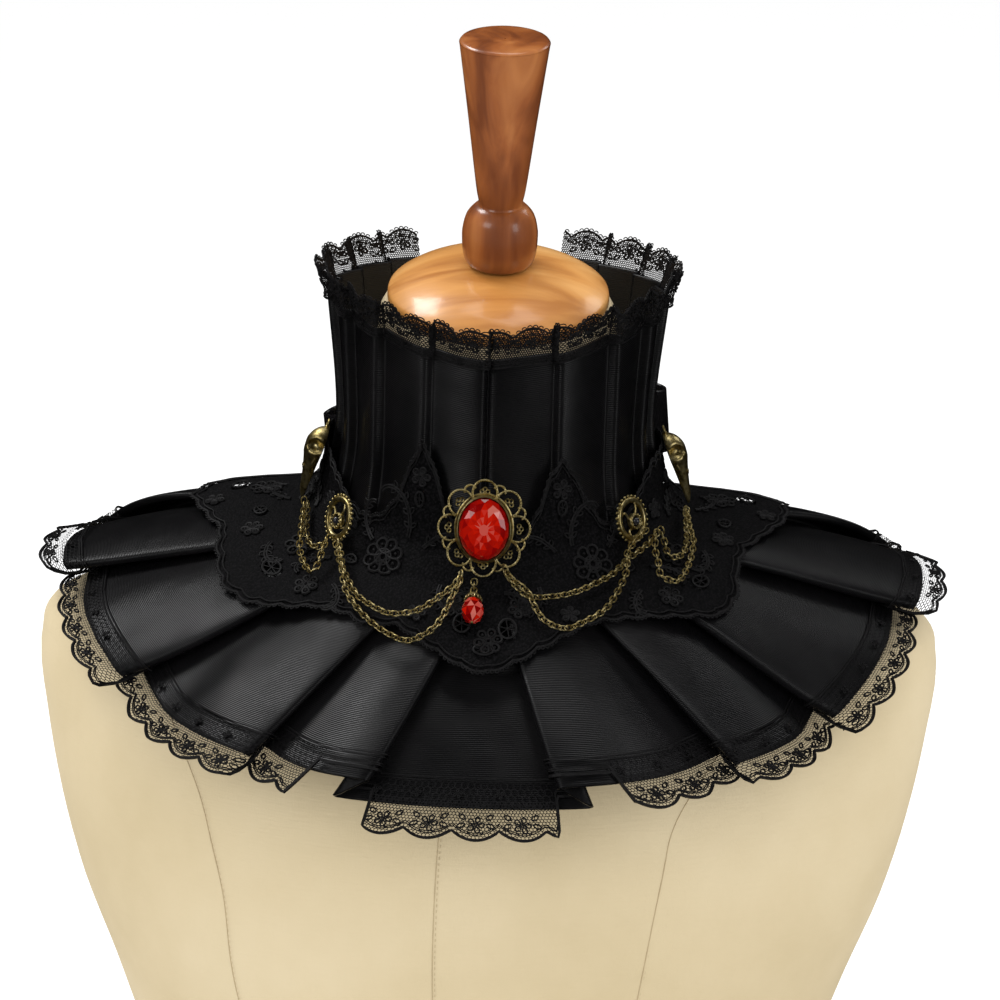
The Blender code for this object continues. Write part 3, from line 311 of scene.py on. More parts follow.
def ruffle_profile(s):
    azimuths, arcs = arc_table(lambda az: ruffle_meridian(az, s)[:2])
    height, under, inner, outer = pleat_sizes(s)

    def side(folds, end, sign):
        edges = [abs(float(np.interp(sign * (a + (b - a) * s), azimuths, arcs))) for a, b in folds]
        last = abs(float(np.interp(end, azimuths, arcs)))
        line = [(0.0, 0.0, FRONT_DROP), (edges[0] * 0.6, 0.0, FRONT_DROP)]
        for i, edge in enumerate(edges):
            slide = -TUCK if i else FRONT_DROP
            for turn in (-90, -30, 30, 90):
                c, t = math.cos(math.radians(turn)), math.sin(math.radians(turn))
                line.append((edge + under + inner * c, inner + inner * t, slide))
            for turn in (-90, -30, 30, 90):
                c, t = math.cos(math.radians(turn)), math.sin(math.radians(turn))
                line.append((edge - outer * c, height - outer + outer * t, 0.0))
            width = (edges[i + 1] if i + 1 < len(edges) else last) - edge
            start = min(0.3, under / width + 0.1)
            for u in (start, start + (0.88 - start) * 0.4, start + (0.88 - start) * 0.72, 0.88):
                line.append((edge + width * u, height * math.cos(u * math.pi / 2) ** 0.85, -TUCK * u * u * u))
        line.append((last, height * 0.02, -TUCK))
        return line

    right = side(FOLDS_RIGHT, BACK_RIGHT + 2 * s, 1)
    left = side(FOLDS_LEFT, BACK_LEFT - 2 * s, -1)
    line = np.array([(-a, z, slide) for a, z, slide in reversed(left[1:])] + right)
    fade = max(0.0, (s - 0.3) / 0.7) ** 1.5
    return line[:, :2], line[:, 2] * fade, azimuths, arcs


def ruffle_row(s, offset):
    """One row of points of the pleated ruffle, moved outwards by the offset, each panel slid down or up."""
    line, slide, azimuths, arcs = ruffle_profile(s)
    line = offset_line(line, offset)
    azimuth = np.interp(line[:, 0], arcs, azimuths)
    radius, h, out_r, out_h = ruffle_meridian(azimuth, s)
    radius = radius + line[:, 1] * out_r + slide * out_h
    return place(radius, azimuth, h + line[:, 1] * out_h - slide * out_r)


COVER_UPS = (0.062, 0.052, 0.042, 0.032, 0.023, 0.016, 0.010)
COVER_SHARES = (0.12, 0.2, 0.3, 0.4, 0.5, 0.6, 0.7)


def cover_line(azimuth, clear):
    """Radius and h of the smooth cover over stand and ruffle crests, with its distance from the seam."""
    low = float(smooth(azimuth, column(STAND, 0), column(STAND, 1)))
    high = float(smooth(azimuth, column(STAND, 0), column(STAND, 2)))
    radii = [float(smooth(azimuth, column(STAND, 0), column(STAND, 3 + i))) for i in range(4)]
    found = []
    for up in COVER_UPS:
        part = up / (high - low)
        rise = float(np.interp(part, STAND_ROWS, STAND_PLEAT)) + CLOTH / 2 + clear
        found.append((float(np.interp(part, STAND_ROWS, radii)) + rise, low + up))
    for s in COVER_SHARES:
        radius, h, out_r, out_h = (float(v) for v in ruffle_meridian(azimuth, s))
        rise = pleat_sizes(s)[0] + CLOTH / 2 + clear
        found.append((radius + rise * out_r, h + rise * out_h))
    line = np.array(found)
    arc = travel(line)
    return line, (arc[6] + arc[7]) / 2 - arc


def cover_point(azimuth, up, clear):
    line, arc = cover_line(azimuth, clear)
    order = np.argsort(arc)
    radius = np.interp(up, arc[order], line[order, 0])
    h = np.interp(up, arc[order], line[order, 1])
    return place(np.asarray(radius), np.asarray(azimuth), np.asarray(h))


def azimuth_of(points):
    return np.degrees(np.arctan2(points[..., 0], -points[..., 1]))


class Strip:
    """A band of lace between two rows of points: u runs along its edge, v across it, both in metres."""

    def __init__(self, first, second, first_out, second_out, edge):
        self.first, self.second = first, second
        self.first_out, self.second_out = first_out, second_out
        self.arc = travel(edge)

    def mix(self, grid, u):
        return np.stack([np.interp(u, self.arc, grid[:, k]) for k in range(3)], axis=-1)

    def at(self, u, v, lift=0.0):
        """The point a distance v before (minus) or past (plus) the second row."""
        a, b = self.mix(self.first, u), self.mix(self.second, u)
        length = np.linalg.norm(b - a, axis=-1)
        k = (1 + np.asarray(v) / length)[..., None]
        out = unit(self.mix(self.first_out, u) * (1 - k) + self.mix(self.second_out, u) * k)
        return a + (b - a) * k + out * lift, out


class FlaredStrip(Strip):
    """A band of lace that leans out past its edge, most at the sides of the neck."""

    def __init__(self, *bounds):
        super().__init__(*bounds)
        turn = np.abs(np.radians(azimuth_of(self.second)))
        self.flare = 0.001 + 0.001 * np.clip((turn - 0.9) / 0.6, 0, 1)

    def at(self, u, v, lift=0.0):
        points, out = super().at(u, v, lift)
        ahead = np.clip(np.asarray(v) / NECK_LACE_ABOVE, 0, 1.4)
        push = np.interp(u, self.arc, self.flare) * ahead
        away = unit(self.mix(self.second * (1, 1, 0), u))
        return points + away * push[..., None], out


def grid_faces(rows, cols, close_across=False):
    """Four-cornered faces between the points of a grid, listed row by row."""
    r, c = np.meshgrid(np.arange(rows - 1), np.arange(cols if close_across else cols - 1), indexing="ij")
    n = (c + 1) % cols
    faces = np.stack([r * cols + c, r * cols + n, (r + 1) * cols + n, (r + 1) * cols + c], axis=-1)
    return faces.reshape(-1, 4)


class Shape:
    """Points and faces of one piece, gathered part by part."""

    def __init__(self):
        self.points = []
        self.faces = []
        self.count = 0

    def add(self, points, faces):
        points = np.asarray(points, float).reshape(-1, 3)
        self.points.append(points)
        self.faces.append(np.asarray(faces, int) + self.count)
        self.count += len(points)

    def grid(self, points, close_across=False):
        points = np.asarray(points, float)
        self.add(points, grid_faces(*points.shape[:2], close_across))

    def cap(self, ring):
        """A fan over a ring of points, round their middle."""
        around = len(ring)
        fan = [(i, (i + 1) % around, around, around) for i in range(around)]
        self.add(np.vstack([ring, ring.mean(axis=0)]), fan)

    def tube(self, path, radius, sides=4, out=None, closed=False):
        """A thread along a path."""
        path = np.asarray(path, float)
        way = np.roll(path, -1, axis=0) - np.roll(path, 1, axis=0)
        if not closed:
            way = np.gradient(path, axis=0)
        way = unit(way)
        out = np.array((0.3, -0.5, 0.8)) if out is None else out
        side = unit(np.cross(way, out))
        other = np.cross(way, side)
        size = np.full(len(path), radius) if np.isscalar(radius) else np.asarray(radius, float)
        if closed:
            path = np.vstack([path, path[:1]])
            side, other = np.vstack([side, side[:1]]), np.vstack([other, other[:1]])
            size = np.append(size, size[0])
        turn = 2 * math.pi * (np.arange(sides) + 0.5) / sides
        ring = side[:, None] * np.cos(turn)[None, :, None] + other[:, None] * np.sin(turn)[None, :, None]
        self.grid(path[:, None] + ring * size[:, None, None], close_across=True)

    def ball(self, centre, radius, around=8, rings=5, squash=(1.0, 1.0, 1.0), turn=None):
        polar = np.linspace(0.12, math.pi - 0.12, rings)
        angle = 2 * math.pi * np.arange(around) / around
        x = np.sin(polar)[:, None] * np.cos(angle)
        y = np.sin(polar)[:, None] * np.sin(angle)
        z = np.cos(polar)[:, None] + 0 * angle
        points = np.stack([x, y, z], axis=-1) * radius * np.array(squash)
        if turn is not None:
            points = points @ np.asarray(turn)
        self.grid(points + np.asarray(centre), close_across=True)
        for row in (0, rings - 1):
            self.cap(points[row] + np.asarray(centre))

    def bands(self, starts, ends, outs, width):
        """Flat thread quads between pairs of points."""
        side = unit(np.cross(ends - starts, outs)) * width / 2
        points = np.stack([starts - side, starts + side, ends + side, ends - side], axis=1)
        self.add(points, np.arange(len(starts) * 4).reshape(-1, 4))


def make(name, shape, made_of, smooth_angle=None, slot=None):
    """One object of a gathered shape."""
    points = np.concatenate(shape.points)
    faces = [tuple(dict.fromkeys(int(v) for v in face)) for group in shape.faces for face in group]
    mesh = bpy.data.meshes.new(name)
    mesh.from_pydata(points.tolist(), [], faces)
    mesh.materials.append(made_of)
    obj = bpy.data.objects.new(name, mesh)
    bpy.context.scene.collection.objects.link(obj)
    if smooth_angle is not None:
        mesh.shade_smooth()
        mesh.set_sharp_from_angle(angle=math.radians(smooth_angle))
    mesh.update()
    if slot:
        dress(obj, slot)
    return obj


def dress(obj, slot, *nodes):
    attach(obj, "root")
    if nodes:
        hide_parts(*nodes)
    return obj


def settle(obj):
    """The object's modifiers are worked into its mesh."""
    depsgraph = bpy.context.evaluated_depsgraph_get()
    mesh = bpy.data.meshes.new_from_object(obj.evaluated_get(depsgraph))
    obj.modifiers.clear()
    obj.data = mesh


def cloth_shell(name, grid, made_of, thickness, rounds):
    """A cloth sheet through a grid of points [row][column], with metre-sized coordinates for its weave."""
    grid = np.asarray(grid)
    cols = grid.shape[1]
    across = travel(grid[-1])
    steps = np.linalg.norm(np.diff(grid, axis=0), axis=2)
    down = np.concatenate([np.zeros((1, cols)), np.cumsum(steps, axis=0)])
    down = down - down[-1:]
    shape = Shape()
    shape.grid(grid)
    obj = make(name, shape, made_of)
    layer = obj.data.uv_layers.new(name="weave")
    index = np.zeros(len(obj.data.loops), int)
    obj.data.loops.foreach_get("vertex_index", index)
    uv = np.stack([across[index % cols], down.reshape(-1)[index]], axis=1)
    layer.data.foreach_set("uv", uv.reshape(-1))
    rounder = obj.modifiers.new("round", "SUBSURF")
    rounder.levels = rounds
    rounder.render_levels = rounds
    rounder.boundary_smooth = "PRESERVE_CORNERS"
    wall = obj.modifiers.new("wall", "SOLIDIFY")
    wall.thickness = thickness
    wall.offset = 0.0
    settle(obj)
    obj.data.shade_smooth()
    return obj


# Materials


def principled(name, color, roughness, metallic=0.0, **more):
    made = bpy.data.materials.new(name)
    made.use_nodes = True
    shader = made.node_tree.nodes["Principled BSDF"]
    shader.inputs["Base Color"].default_value = (*color, 1.0)
    shader.inputs["Roughness"].default_value = roughness
    shader.inputs["Metallic"].default_value = metallic
    for label, value in more.items():
        shader.inputs[label.replace("_", " ")].default_value = value
    made.diffuse_color = (*color, 1.0)
    return made, made.node_tree, shader


def coordinates(tree, kind, stretch=(1.0, 1.0, 1.0)):
    source = tree.nodes.new("ShaderNodeTexCoord")
    mapping = tree.nodes.new("ShaderNodeMapping")
    mapping.inputs["Scale"].default_value = stretch
    tree.links.new(source.outputs[kind], mapping.inputs["Vector"])
    return mapping.outputs["Vector"]


def noise(tree, where, scale, detail=3.0, roughness=0.55):
    node = tree.nodes.new("ShaderNodeTexNoise")
    node.inputs["Scale"].default_value = scale
    node.inputs["Detail"].default_value = detail
    node.inputs["Roughness"].default_value = roughness
    tree.links.new(where, node.inputs["Vector"])
    return node.outputs["Fac"]


def ribs(tree, where, direction, pitch, distortion=0.0, detail_scale=1.0):
    node = tree.nodes.new("ShaderNodeTexWave")
    node.wave_type = "BANDS"
    node.bands_direction = direction
    node.inputs["Scale"].default_value = 2 * math.pi / (20 * pitch)
    node.inputs["Distortion"].default_value = distortion
    node.inputs["Detail Scale"].default_value = detail_scale
    tree.links.new(where, node.inputs["Vector"])
    return node.outputs["Fac"]


def cells(tree, where, scale, feature="F1"):
    node = tree.nodes.new("ShaderNodeTexVoronoi")
    node.feature = feature
    node.inputs["Scale"].default_value = scale
    tree.links.new(where, node.inputs["Vector"])
    return node.outputs["Distance"]


def ramp(tree, amount, stops):
    node = tree.nodes.new("ShaderNodeValToRGB")
    band = node.color_ramp
    for i, (position, color) in enumerate(stops):
        stop = band.elements[i] if i < 2 else band.elements.new(position)
        stop.position = position
        stop.color = (*color, 1.0)
    tree.links.new(amount, node.inputs["Fac"])
    return node.outputs["Color"]


def spread(tree, amount, low, high):
    node = tree.nodes.new("ShaderNodeMapRange")
    node.inputs["To Min"].default_value = low
    node.inputs["To Max"].default_value = high
    tree.links.new(amount, node.inputs["Value"])
    return node.outputs["Result"]


def bump(tree, shader, heights):
    """Chained bumps: pairs of height output, strength and distance."""
    last = None
    for height, strength, distance in heights:
        node = tree.nodes.new("ShaderNodeBump")
        node.inputs["Strength"].default_value = strength
        node.inputs["Distance"].default_value = distance
        tree.links.new(height, node.inputs["Height"])
        if last is not None:
            tree.links.new(last, node.inputs["Normal"])
        last = node.outputs["Normal"]
    tree.links.new(last, shader.inputs["Normal"])


def tint(tree, shader, amount, stops):
    """The base colour runs through the stops with the amount."""
    tree.links.new(ramp(tree, amount, stops), shader.inputs["Base Color"])


def vary(tree, shader, amount, low, high):
    """The roughness runs from low to high with the amount."""
    tree.links.new(spread(tree, amount, low, high), shader.inputs["Roughness"])


def faille():
    made, tree, shader = principled("black_faille", (0.0025, 0.0022, 0.0024), 0.36, Specular_IOR_Level=0.38)
    weave = coordinates(tree, "UV")
    body = coordinates(tree, "Object")
    stops = [(0.3, (0.002, 0.002, 0.0025)), (0.7, (0.005, 0.0045, 0.005))]
    tint(tree, shader, noise(tree, body, 26.0, 4.0), stops)
    vary(tree, shader, noise(tree, body, 60.0), 0.28, 0.44)
    heights = [
        (noise(tree, body, 24.0, 2.0), 0.55, 0.0030),
        (ribs(tree, weave, "Y", 0.00085, 0.3, 3.0), 0.75, 0.00012),
        (noise(tree, body, 1600.0), 0.12, 0.00006),
    ]
    bump(tree, shader, heights)
    return made


def lace_thread(name, color, roughness):
    made, tree, shader = principled(name, color, roughness, Specular_IOR_Level=0.3)
    body = coordinates(tree, "Object")
    dark = tuple(c * 0.6 for c in color)
    light = tuple(c * 1.7 for c in color)
    tint(tree, shader, noise(tree, body, 700.0), [(0.35, dark), (0.7, light)])
    bump(tree, shader, [(noise(tree, body, 2600.0), 0.5, 0.0002)])
    return made


def embroidery():
    made, tree, shader = principled("lace_ground", (0.003, 0.003, 0.004), 0.75, Specular_IOR_Level=0.12)
    body = coordinates(tree, "Object")
    stops = [(0.1, (0.006, 0.005, 0.006)), (0.6, (0.0012, 0.0012, 0.0015))]
    tint(tree, shader, cells(tree, body, 900.0), stops)
    bump(tree, shader, [(cells(tree, body, 900.0), 0.8, 0.0005), (noise(tree, body, 2400.0), 0.4, 0.0002)])
    return made


def satin():
    made, tree, shader = principled("satin_ribbon", (0.003, 0.003, 0.003), 0.24, Specular_IOR_Level=0.6)
    weave = coordinates(tree, "UV")
    body = coordinates(tree, "Object")
    stops = [(0.3, (0.002, 0.002, 0.002)), (0.7, (0.006, 0.005, 0.006))]
    tint(tree, shader, noise(tree, body, 40.0), stops)
    heights = [
        (noise(tree, body, 55.0, 2.0), 0.3, 0.0012),
        (ribs(tree, weave, "X", 0.0007), 0.2, 0.00006),
    ]
    bump(tree, shader, heights)
    return made


def bronze():
    made, tree, shader = principled("aged_bronze", (0.60, 0.48, 0.20), 0.34, 1.0)
    body = coordinates(tree, "Object")
    stops = [(0.30, (0.26, 0.19, 0.07)), (0.46, (0.62, 0.49, 0.20)), (0.70, (0.88, 0.75, 0.40))]
    tint(tree, shader, noise(tree, body, 420.0, 4.0), stops)
    vary(tree, shader, noise(tree, body, 900.0), 0.28, 0.50)
    bump(tree, shader, [(noise(tree, body, 1500.0), 0.25, 0.0001)])
    return made


def red_glass():
    """Red glass whose facets carry painted light: each face's painted light value runs its colour from painted
    shade through red to a painted highlight.
    """
    made, tree, shader = principled(
        "red_glass", (0.45, 0.0, 0.0), 0.05, Specular_IOR_Level=0.5, Coat_Weight=0.4, Coat_Roughness=0.03
    )
    painted_light = tree.nodes.new("ShaderNodeAttribute")
    painted_light.attribute_name = "painted_light"
    # Painted light: the dark stops are painted shade on facets, the pale last stop a painted highlight.
    stops = [
        (0.0, (0.03, 0.0, 0.0)),
        (0.45, (0.15, 0.001, 0.001)),
        (0.8, (0.36, 0.006, 0.001)),
        (1.0, (0.38, 0.09, 0.07)),
    ]
    tint(tree, shader, painted_light.outputs["Fac"], stops)
    return made


def linen():
    made, tree, shader = principled("cream_linen", (0.60, 0.50, 0.33), 0.92, Specular_IOR_Level=0.2)
    body = coordinates(tree, "Object")
    along = coordinates(tree, "Object", (1.0, 1.0, 0.12))
    slub = coordinates(tree, "Object", (0.10, 0.10, 1.0))
    stops = [(0.28, (0.48, 0.39, 0.235)), (0.5, (0.55, 0.455, 0.29)), (0.75, (0.61, 0.515, 0.345))]
    tint(tree, shader, noise(tree, body, 7.0, 5.0), stops)
    heights = [
        (noise(tree, along, 900.0), 0.35, 0.00035),
        (noise(tree, slub, 900.0), 0.35, 0.00035),
        (noise(tree, body, 60.0, 3.0), 0.10, 0.001),
    ]
    bump(tree, shader, heights)
    return made


def wood(name, dark, middle, light, grain):
    """Varnished wood, its figure stretched by the three numbers of the grain."""
    made, tree, shader = principled(name, middle, 0.32, Coat_Weight=0.5, Coat_Roughness=0.14)
    where = coordinates(tree, "Object", grain)
    fine = coordinates(tree, "Object", tuple(3 * g for g in grain))
    node = tree.nodes.new("ShaderNodeTexNoise")
    node.inputs["Scale"].default_value = 30.0
    node.inputs["Detail"].default_value = 8.0
    node.inputs["Distortion"].default_value = 0.8
    tree.links.new(where, node.inputs["Vector"])
    tint(tree, shader, node.outputs["Fac"], [(0.34, dark), (0.5, middle), (0.68, light)])
    vary(tree, shader, noise(tree, fine, 60.0), 0.26, 0.42)
    bump(tree, shader, [(noise(tree, fine, 120.0), 0.12, 0.0003)])
    return made


BLACK = faille()
NET = lace_thread("black_lace", (0.004, 0.0035, 0.004), 0.6)
CORD = lace_thread("lace_cord", (0.005, 0.0045, 0.005), 0.62)
GROUND = embroidery()
SATIN = satin()
BRONZE = bronze()
RED = red_glass()
JET = principled("black_bead", (0.01, 0.01, 0.012), 0.12, Coat_Weight=0.6)[0]
LINEN = linen()
SEAM = principled("linen_thread", (0.40, 0.31, 0.18), 0.8)[0]
CAP_WOOD = wood("cap_wood", (0.44, 0.17, 0.035), (0.62, 0.28, 0.07), (0.76, 0.40, 0.13), (0.25, 1.6, 1.0))
FINIAL_WOOD = wood(
    "finial_wood", (0.16, 0.040, 0.008), (0.28, 0.080, 0.016), (0.40, 0.140, 0.034), (2.0, 2.0, 0.16)
)


# Chains

LINK_PITCH = 0.0027
LINK = (0.0020, 0.00135, 0.00034)  # half length, half width, wire radius
LINK_TURNS = (-48.0, 38.0)  # how far the even and the odd links are turned about the chain
# The hanging chains: azimuth, reach up from the seam and stand-off from the pleat crests at points along each
CHAINS = {
    "chain_right_upper": (
        (4.0, -0.001, 0.0085), (6.0, -0.006, 0.0070), (10.0, -0.014, 0.0060), (16.0, -0.0155, 0.0060),
        (22.0, -0.015, 0.0060), (29.0, -0.012, 0.0060), (35.0, -0.009, 0.0060), (42.0, -0.004, 0.0060),
        (47.5, -0.002, 0.0065), (52.5, 0.000, 0.0070), (57.0, 0.003, 0.0075),
    ),
    "chain_right_lower": (
        (3.5, 0.001, 0.0120), (5.5, -0.005, 0.0105), (9.5, -0.0125, 0.0092), (11.0, -0.020, 0.0070),
        (13.0, -0.0275, 0.0060), (17.0, -0.0325, 0.0060), (22.0, -0.0305, 0.0060), (27.5, -0.0265, 0.0060),
        (33.5, -0.018, 0.0060), (38.0, -0.010, 0.0080), (41.0, -0.002, 0.0095), (46.0, 0.003, 0.0105),
        (51.5, 0.006, 0.0115),
    ),
    "chain_right_inner": (
        (60.5, 0.004, 0.0070), (58.5, -0.003, 0.0060), (56.0, -0.009, 0.0056), (57.0, -0.0125, 0.0055),
        (60.0, -0.0125, 0.0060), (65.0, -0.009, 0.0060), (70.0, -0.005, 0.0060), (75.0, -0.001, 0.0065),
        (78.5, 0.002, 0.0070),
    ),
    "chain_right_outer": (
        (55.5, 0.004, 0.0115), (51.5, -0.003, 0.0095), (49.0, -0.011, 0.0075), (47.0, -0.018, 0.0060),
        (49.0, -0.0235, 0.0060), (52.5, -0.0225, 0.0060), (59.0, -0.017, 0.0065), (64.0, -0.011, 0.0085),
        (67.0, -0.006, 0.0095), (72.0, -0.001, 0.0100), (76.0, 0.003, 0.0105),
    ),
    "chain_left_upper": (
        (-8.0, -0.003, 0.0065), (-9.5, -0.0085, 0.0060), (-13.0, -0.017, 0.0060), (-17.0, -0.025, 0.0060),
        (-22.0, -0.029, 0.0060), (-26.0, -0.0285, 0.0060), (-32.0, -0.025, 0.0060), (-37.0, -0.019, 0.0060),
        (-42.0, -0.013, 0.0060), (-47.0, -0.007, 0.0060), (-50.0, -0.003, 0.0065),
    ),
    "chain_left_lower": (
        (-8.0, -0.002, 0.0100), (-8.0, -0.008, 0.0095), (-9.0, -0.014, 0.0085), (-10.5, -0.024, 0.0060),
        (-12.5, -0.033, 0.0060), (-16.5, -0.040, 0.0060), (-20.5, -0.0395, 0.0060), (-26.0, -0.0355, 0.0060),
        (-32.0, -0.029, 0.0062), (-35.5, -0.023, 0.0085), (-40.0, -0.013, 0.0095), (-44.5, -0.006, 0.0095),
        (-48.0, -0.002, 0.0097),
    ),
    "chain_left_inner": (
        (-53.5, -0.004, 0.0060), (-54.0, -0.0095, 0.0055), (-57.5, -0.010, 0.0055), (-62.0, -0.007, 0.0058),
        (-66.0, -0.003, 0.0060), (-70.0, 0.001, 0.0065), (-72.5, 0.004, 0.0070),
    ),
    "chain_left_outer": (
        (-51.5, -0.003, 0.0100), (-49.0, -0.011, 0.0085), (-47.5, -0.019, 0.0060), (-48.0, -0.0225, 0.0060),
        (-52.0, -0.020, 0.0060), (-57.0, -0.015, 0.0065), (-60.0, -0.009, 0.0085), (-64.0, -0.004, 0.0095),
        (-69.0, 0.001, 0.0100), (-72.0, 0.005, 0.0105),
    ),
}


def link_loop(centre, way, across):
    """One oval chain link as a ring of centre points."""
    turn = 2 * math.pi * np.arange(14) / 14
    flat = np.sign(np.cos(turn)) * np.abs(np.cos(turn)) ** 0.8
    return centre + np.outer(LINK[0] * flat, way) + np.outer(LINK[1] * np.sin(turn), across)


def point_at(path, arc, at):
    """The point a distance along a path whose arc lengths are given."""
    return np.array([np.interp(at, arc, path[:, k]) for k in range(3)])


def hang_chain(name, route):
    route = [cover_point(*stop) for stop in route]
    path = curve_through(route, 0.0005)
    arc = travel(path)
    run = arc[-1] - 2 * LINK[0]
    count = int(round(run / LINK_PITCH))
    shape = Shape()
    for i in range(count + 1):
        at = LINK[0] + run * i / count
        centre = point_at(path, arc, at)
        way = unit(point_at(path, arc, at + 0.001) - point_at(path, arc, at - 0.001))
        out = unit(np.array((centre[0], centre[1], 0.04)))
        side = unit(np.cross(way, out))
        out = np.cross(side, way)
        turn = math.radians(LINK_TURNS[i % 2])
        across = side * math.cos(turn) + out * math.sin(turn)
        normal = np.cross(way, across)
        shape.tube(link_loop(centre, way, across), LINK[2], 6, out=normal, closed=True)
    obj = make("links_" + name, shape, BRONZE, 60)
    dress(obj, "aged_bronze", name)


for chain_name, chain_route in CHAINS.items():
    hang_chain(chain_name, chain_route)


# Stand and ruffle


def refine(rows, shares, fine):
    """Rows of points set between the given rows, on smooth curves down each column."""
    rows = np.asarray(rows)
    found = np.zeros((len(fine),) + rows.shape[1:])
    for c in range(rows.shape[1]):
        for k in range(3):
            found[:, c, k] = smooth(fine, shares, rows[:, c, k])
    return found


def crease_depth(azimuth, s):
    depth = 0.0 * azimuth
    for at, lean, first, last, width, size in CREASES:
        middle = at - lean * (1 - s)
        along = np.clip((s - first) / (min(last, 1.0) - first), 0, 1)
        fade = math.sin(math.pi * along) if last <= 1.0 else math.sin(math.pi * along / 2)
        depth = depth + size * fade * np.exp(-(((azimuth - middle) / width) ** 2))
    return depth


def build_stand():
    fine = (0.0, 0.05, 0.10, 0.16, 0.26, 0.36, 0.45, 0.58, 0.72, 0.86, 0.95, 1.0)
    rows = refine(stand_points(0.0), STAND_ROWS, fine)
    obj = cloth_shell("stand_cloth", rows, BLACK, CLOTH, 2)
    dress(obj, "black_faille", "neck_stand")
    return obj


def build_ruffle():
    fine = (0.0, 0.03, 0.06, 0.12, 0.20, 0.30, 0.40, 0.50, 0.60, 0.70, 0.80, 0.86, 0.92, 0.97, 1.0)
    rows = []
    for s in fine:
        middle, lifted = ruffle_row(s, 0.0), ruffle_row(s, 0.0005)
        out = unit(lifted - middle)
        rows.append(middle + out * crease_depth(azimuth_of(middle), s)[:, None])
    obj = cloth_shell("ruffle_cloth", rows, BLACK, CLOTH, 2)
    dress(obj, "black_faille", "shoulder_ruffle")
    return obj


# Lace


def hex_net(width, low, high, pitch, reach):
    """Start and end points of a hexagon net's threads over a strip, kept where reach(u) allows."""
    step = pitch * math.sqrt(3) / 2
    rows = np.arange(int((high - low) / step) + 2)
    cols = np.arange(int(width / pitch) + 2)
    r, c = np.meshgrid(rows, cols, indexing="ij")
    u = (c + 0.5 * (r % 2)) * pitch
    v = low + r * step
    rise = pitch / math.sqrt(3)
    starts, ends = [], []
    for du, dv in ((0.0, -rise), (0.5 * pitch, 0.5 * rise), (-0.5 * pitch, 0.5 * rise)):
        starts.append(np.stack([u, v + rise], axis=-1).reshape(-1, 2))
        ends.append(np.stack([u + du, v + rise + dv], axis=-1).reshape(-1, 2))
    starts, ends = np.concatenate(starts), np.concatenate(ends)
    keep = np.ones(len(starts), bool)
    for points in (starts, ends):
        keep &= (points[:, 0] > 0) & (points[:, 0] < width)
        keep &= (points[:, 1] > low) & (points[:, 1] < reach(points[:, 0]))
    return starts[keep], ends[keep]


def flower(petals, size):
    """Closed petal outlines and the eye of a small lace flower, as lists of (x, y)."""
    lines = []
    for i in range(petals):
        angle = 2 * math.pi * i / petals + 0.3
        line = []
        for t in np.linspace(0, 2 * math.pi, 10, endpoint=False):
            away = size * (0.62 + 0.38 * math.cos(t))
            turn = 0.42 * math.sin(t)
            line.append((away * math.sin(angle + turn), away * math.cos(angle + turn)))
        lines.append(line)
    eye = np.linspace(0, 2 * math.pi, 7)[:-1]
    lines.append([(0.2 * size * math.cos(t), 0.2 * size * math.sin(t)) for t in eye])
    return lines


def leaf(size, angle, x, y):
    line = []
    for along, half in ((0.0, 0.0), (0.3, 0.22), (0.6, 0.24), (1.0, 0.0), (0.6, -0.24), (0.3, -0.22)):
        line.append((along * size, half * size))
    c, s = math.cos(angle), math.sin(angle)
    return [(x + a * c - b * s, y + a * s + b * c) for a, b in line]


def hidden_spans():
    """Stretches of the hem that lie under the next panel, as lengths along it."""
    across = np.abs(ruffle_profile(1.0)[0][:, 0])
    arc = travel(ruffle_row(1.0, 0.0))
    middle = int(np.argmin(across))
    spans = []
    for sign, folds in ((1, FOLDS_RIGHT), (-1, FOLDS_LEFT)):
        for i in range(len(folds)):
            first = middle + sign * (2 + 12 * i)
            before, edge = first - sign, first + 5 * sign
            part = (across[edge] - across[before]) / (across[first] - across[before])
            bare = 0.0 if i else sign * BARE_HEM
            spans.append(sorted((arc[before] + (arc[first] - arc[before]) * part, arc[edge] + bare)))
    return spans


